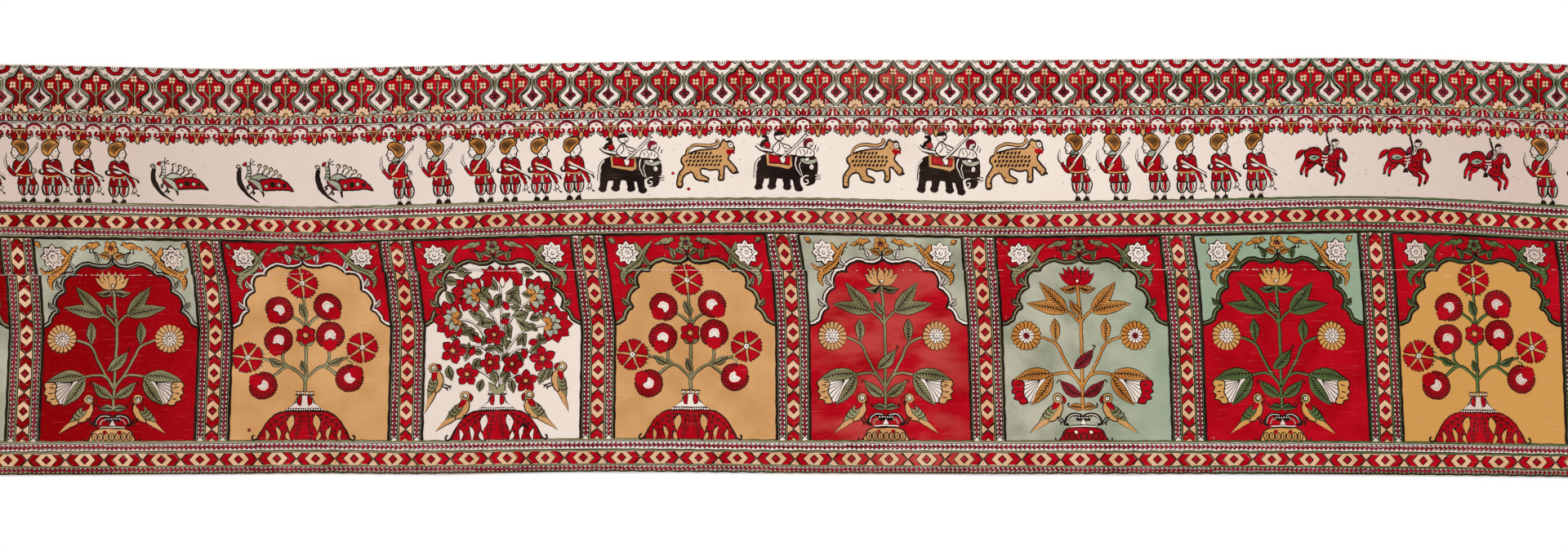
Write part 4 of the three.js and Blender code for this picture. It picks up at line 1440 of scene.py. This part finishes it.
def dyed(name, dark, light, fade, worn=0.5, left=None, right=None, patch=None):
    """A printed dye: uneven, flecked with bare cloth, and worn along the weft"""
    cotton = Cotton(name)
    colour = cotton.mix(cotton.remap(cotton.noise(11, detail=6), 0.3, 0.7), srgb(*dark), srgb(*light))
    if left:
        colour = cotton.mix(cotton.along("X", -0.7, -1.75), colour, srgb(*left))
    if right:
        colour = cotton.mix(cotton.along("X", 0.75, 1.3), colour, srgb(*right))
    if patch:
        share = cotton.remap(cotton.noise(6, (1, 2.4, 1), 6), 0.42, 0.62, 0.55)
        for low, high in ((patch[0], patch[0] + 0.12), (patch[1], patch[1] - 0.12)):
            share = cotton.times(share, cotton.along("X", low, high))
        colour = cotton.mix(share, colour, srgb(*fade))
    fleck = cotton.remap(cotton.noise(330, detail=2), 0.6, 0.78, 0.55 * worn)
    colour = cotton.mix(fleck, colour, srgb(*fade))
    scuff = cotton.remap(cotton.noise(17, (1, 14, 1), 7), 0.6, 0.74, worn)
    return cotton.finish(cotton.mix(scuff, colour, srgb(*fade)))


COLOURS = {
    "red": dyed("dye_red", (160, 2, 16), (186, 8, 28), (200, 84, 76), 0.42, left=(130, 0, 3),
                patch=(0.2, 0.66)),
    "maroon": dyed("dye_maroon", (112, 14, 28), (152, 30, 48), (206, 140, 140), 0.8),
    "green": dyed("dye_green", (112, 106, 70), (152, 146, 108), (196, 184, 160), 0.6, right=(82, 102, 56)),
    "pale": dyed("dye_pale_green", (144, 146, 124), (188, 184, 164), (208, 200, 182), 0.5,
                 right=(146, 166, 140)),
    "ochre": dyed("dye_ochre", (198, 144, 90), (214, 162, 108), (226, 186, 146), 0.4, right=(207, 152, 82)),
    "tan": dyed("dye_tan", (214, 164, 120), (232, 190, 154), (238, 212, 192), 0.6),
    "orange": dyed("dye_orange", (184, 114, 48), (210, 142, 70), (222, 180, 140), 0.5),
    "black": dyed("dye_black", (24, 15, 13), (44, 32, 27), (126, 102, 92), 0.4),
    "white": undyed("bare_cloth"),
}


def cloth(name, lower):
    """One width of cloth: a closed thin sheet on its solid's folds, doubled at the hems"""
    gap = 0.15 / MM
    low, high = (SEAM + gap, BOTTOM) if lower else (TOP, SEAM - gap)
    ys = sorted({low, high, *(y for y in (*BENDS[1], *LATTICE[1]) if low < y < high)})
    xs = sorted({LEFT, RIGHT, *(x for x in (*BENDS[0], *LATTICE[0]))})
    gx, gy = (g.ravel() for g in np.meshgrid(xs, ys, indexing="ij"))
    face = to_frame(gx, gy, CLOTH + hem_rise(gx, gy), lower)
    back = to_frame(gx, gy, np.zeros_like(gx), lower)
    rows, columns, half = len(ys), len(xs), len(gx)
    faces = []
    for i in range(columns - 1):
        for j in range(rows - 1):
            a, b = i * rows + j, (i + 1) * rows + j
            faces.append((a, a + 1, b + 1, b))
            faces.append((a + half, b + half, b + 1 + half, a + 1 + half))
    for i in range(columns - 1):
        a, b = i * rows, (i + 1) * rows
        faces.append((a, b, b + half, a + half))
        a, b = a + rows - 1, b + rows - 1
        faces.append((a, a + half, b + half, b))
    for j in range(rows - 1):
        a, b = j, j + 1
        faces.append((a, a + half, b + half, b))
        a, b = a + (columns - 1) * rows, b + (columns - 1) * rows
        faces.append((a, b, b + half, a + half))
    piece = add_piece(name, np.concatenate([face, back]), faces, [COLOURS["white"], BACK], half_map=True)
    for f in piece.data.polygons:
        f.material_index = 1 if f.normal.z < -0.5 else 0
    return piece


BACK = back_cloth("cloth_back")
upper_cloth = cloth("upper_cloth", False)
lower_cloth = cloth("lower_cloth", True)
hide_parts("upper_width")
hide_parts("lower_width")

printed = {False: [], True: []}
for (dye, lower), (points, _, faces) in sorted(INKS.items()):
    px, py, k = np.array(points).T
    wx, wy = wobble(px, py)
    lift = CLOTH + hem_rise(wx, wy) + PRINT_LIFT + PRINT_LEVEL * k
    edge = np.abs(py - SEAM) < 0.05
    wy = np.where(edge, py, np.where(py < SEAM, np.minimum(wy, SEAM), np.maximum(wy, SEAM)))
    name = f"{'lower' if lower else 'upper'}_print_{dye}"
    placed = to_frame(wx, np.clip(wy, TOP, BOTTOM), lift, lower)
    printed[lower].append(add_piece(name, placed, faces, [COLOURS[dye]]))

# The seam's running stitches, broken where they have worn away
stitches = []
x = LEFT + 4
while x < RIGHT - 4:
    long = random.uniform(1.6, 3)
    kept = math.sin(x * 0.023) + math.sin(x * 0.0087 + 1) > 0
    if random.random() < (0.85 if kept else 0.25):
        stitches.append((x, long, random.uniform(-0.2, 0.2), random.uniform(0.4, 0.8)))
    x += long + random.uniform(0.5, 1.2)
points, faces = [], []
for x, long, off, w in stitches:
    rails = [(x, 0.2), (x + long / 2, 1), (x + long, 0.2)]
    corners = np.array([(px, SEAM + off + s * w / 2, rise) for px, rise in rails for s in (-1, 1)])
    first = len(points)
    lift = CLOTH + PRINT_LIFT + PRINT_LEVEL * STITCH_LEVEL + STITCH_CROWN * corners[:, 2]
    points.extend(to_frame(corners[:, 0], corners[:, 1], lift, False))
    faces.extend([(first, first + 1, first + 3, first + 2), (first + 2, first + 3, first + 5, first + 4)])
seam_stitches = add_piece("seam_stitches", points, faces, [COLOURS["white"]])

# Floor, light and camera
FLOOR_HALF, FLOOR_DROP = 30, 0.0004
floor_mesh = bpy.data.meshes.new("floor")
corners = [(-FLOOR_HALF, -FLOOR_HALF, 0), (FLOOR_HALF, -FLOOR_HALF, 0),
           (FLOOR_HALF, FLOOR_HALF, 0), (-FLOOR_HALF, FLOOR_HALF, 0)]
floor_mesh.from_pydata(corners, [], [(0, 1, 2, 3)])
floor = bpy.data.objects.new("floor", floor_mesh)
floor.location.z = -FLOOR_DROP
bpy.context.scene.collection.objects.link(floor)
paper = bpy.data.materials.new("pale_floor")
paper.use_nodes = True
paper.node_tree.nodes["Principled BSDF"].inputs["Base Color"].default_value = (0.985, 0.985, 0.985, 1)
paper.node_tree.nodes["Principled BSDF"].inputs["Roughness"].default_value = 0.9
floor_mesh.materials.append(paper)

scene = bpy.context.scene
scene.view_settings.view_transform = "Standard"
world = bpy.data.worlds.new("studio")
world.use_nodes = True
world.node_tree.nodes["Background"].inputs["Color"].default_value = (1, 1, 1, 1)
world.node_tree.nodes["Background"].inputs["Strength"].default_value = 0.72
scene.world = world
lamp = bpy.data.lights.new("key", "SUN")
lamp.energy = 1.4
lamp.angle = math.radians(25)
key = bpy.data.objects.new("key", lamp)
key.rotation_euler = (math.radians(-38), math.radians(-32), 0)
scene.collection.objects.link(key)

VIEW_WIDTH = 1920 * MM / 1000
LENS, SENSOR = 70, 36
camera_data = bpy.data.cameras.new("camera")
camera_data.lens = LENS
camera_data.sensor_width = SENSOR
camera = bpy.data.objects.new("camera", camera_data)
PHOTO_MID_Y = 334.5
camera_y = ((SEAM - PHOTO_MID_Y) * MM - CENTRE_Y) / 1000
camera.location = (-CENTRE_X / 1000, camera_y, VIEW_WIDTH * LENS / SENSOR)
scene.collection.objects.link(camera)
scene.camera = camera
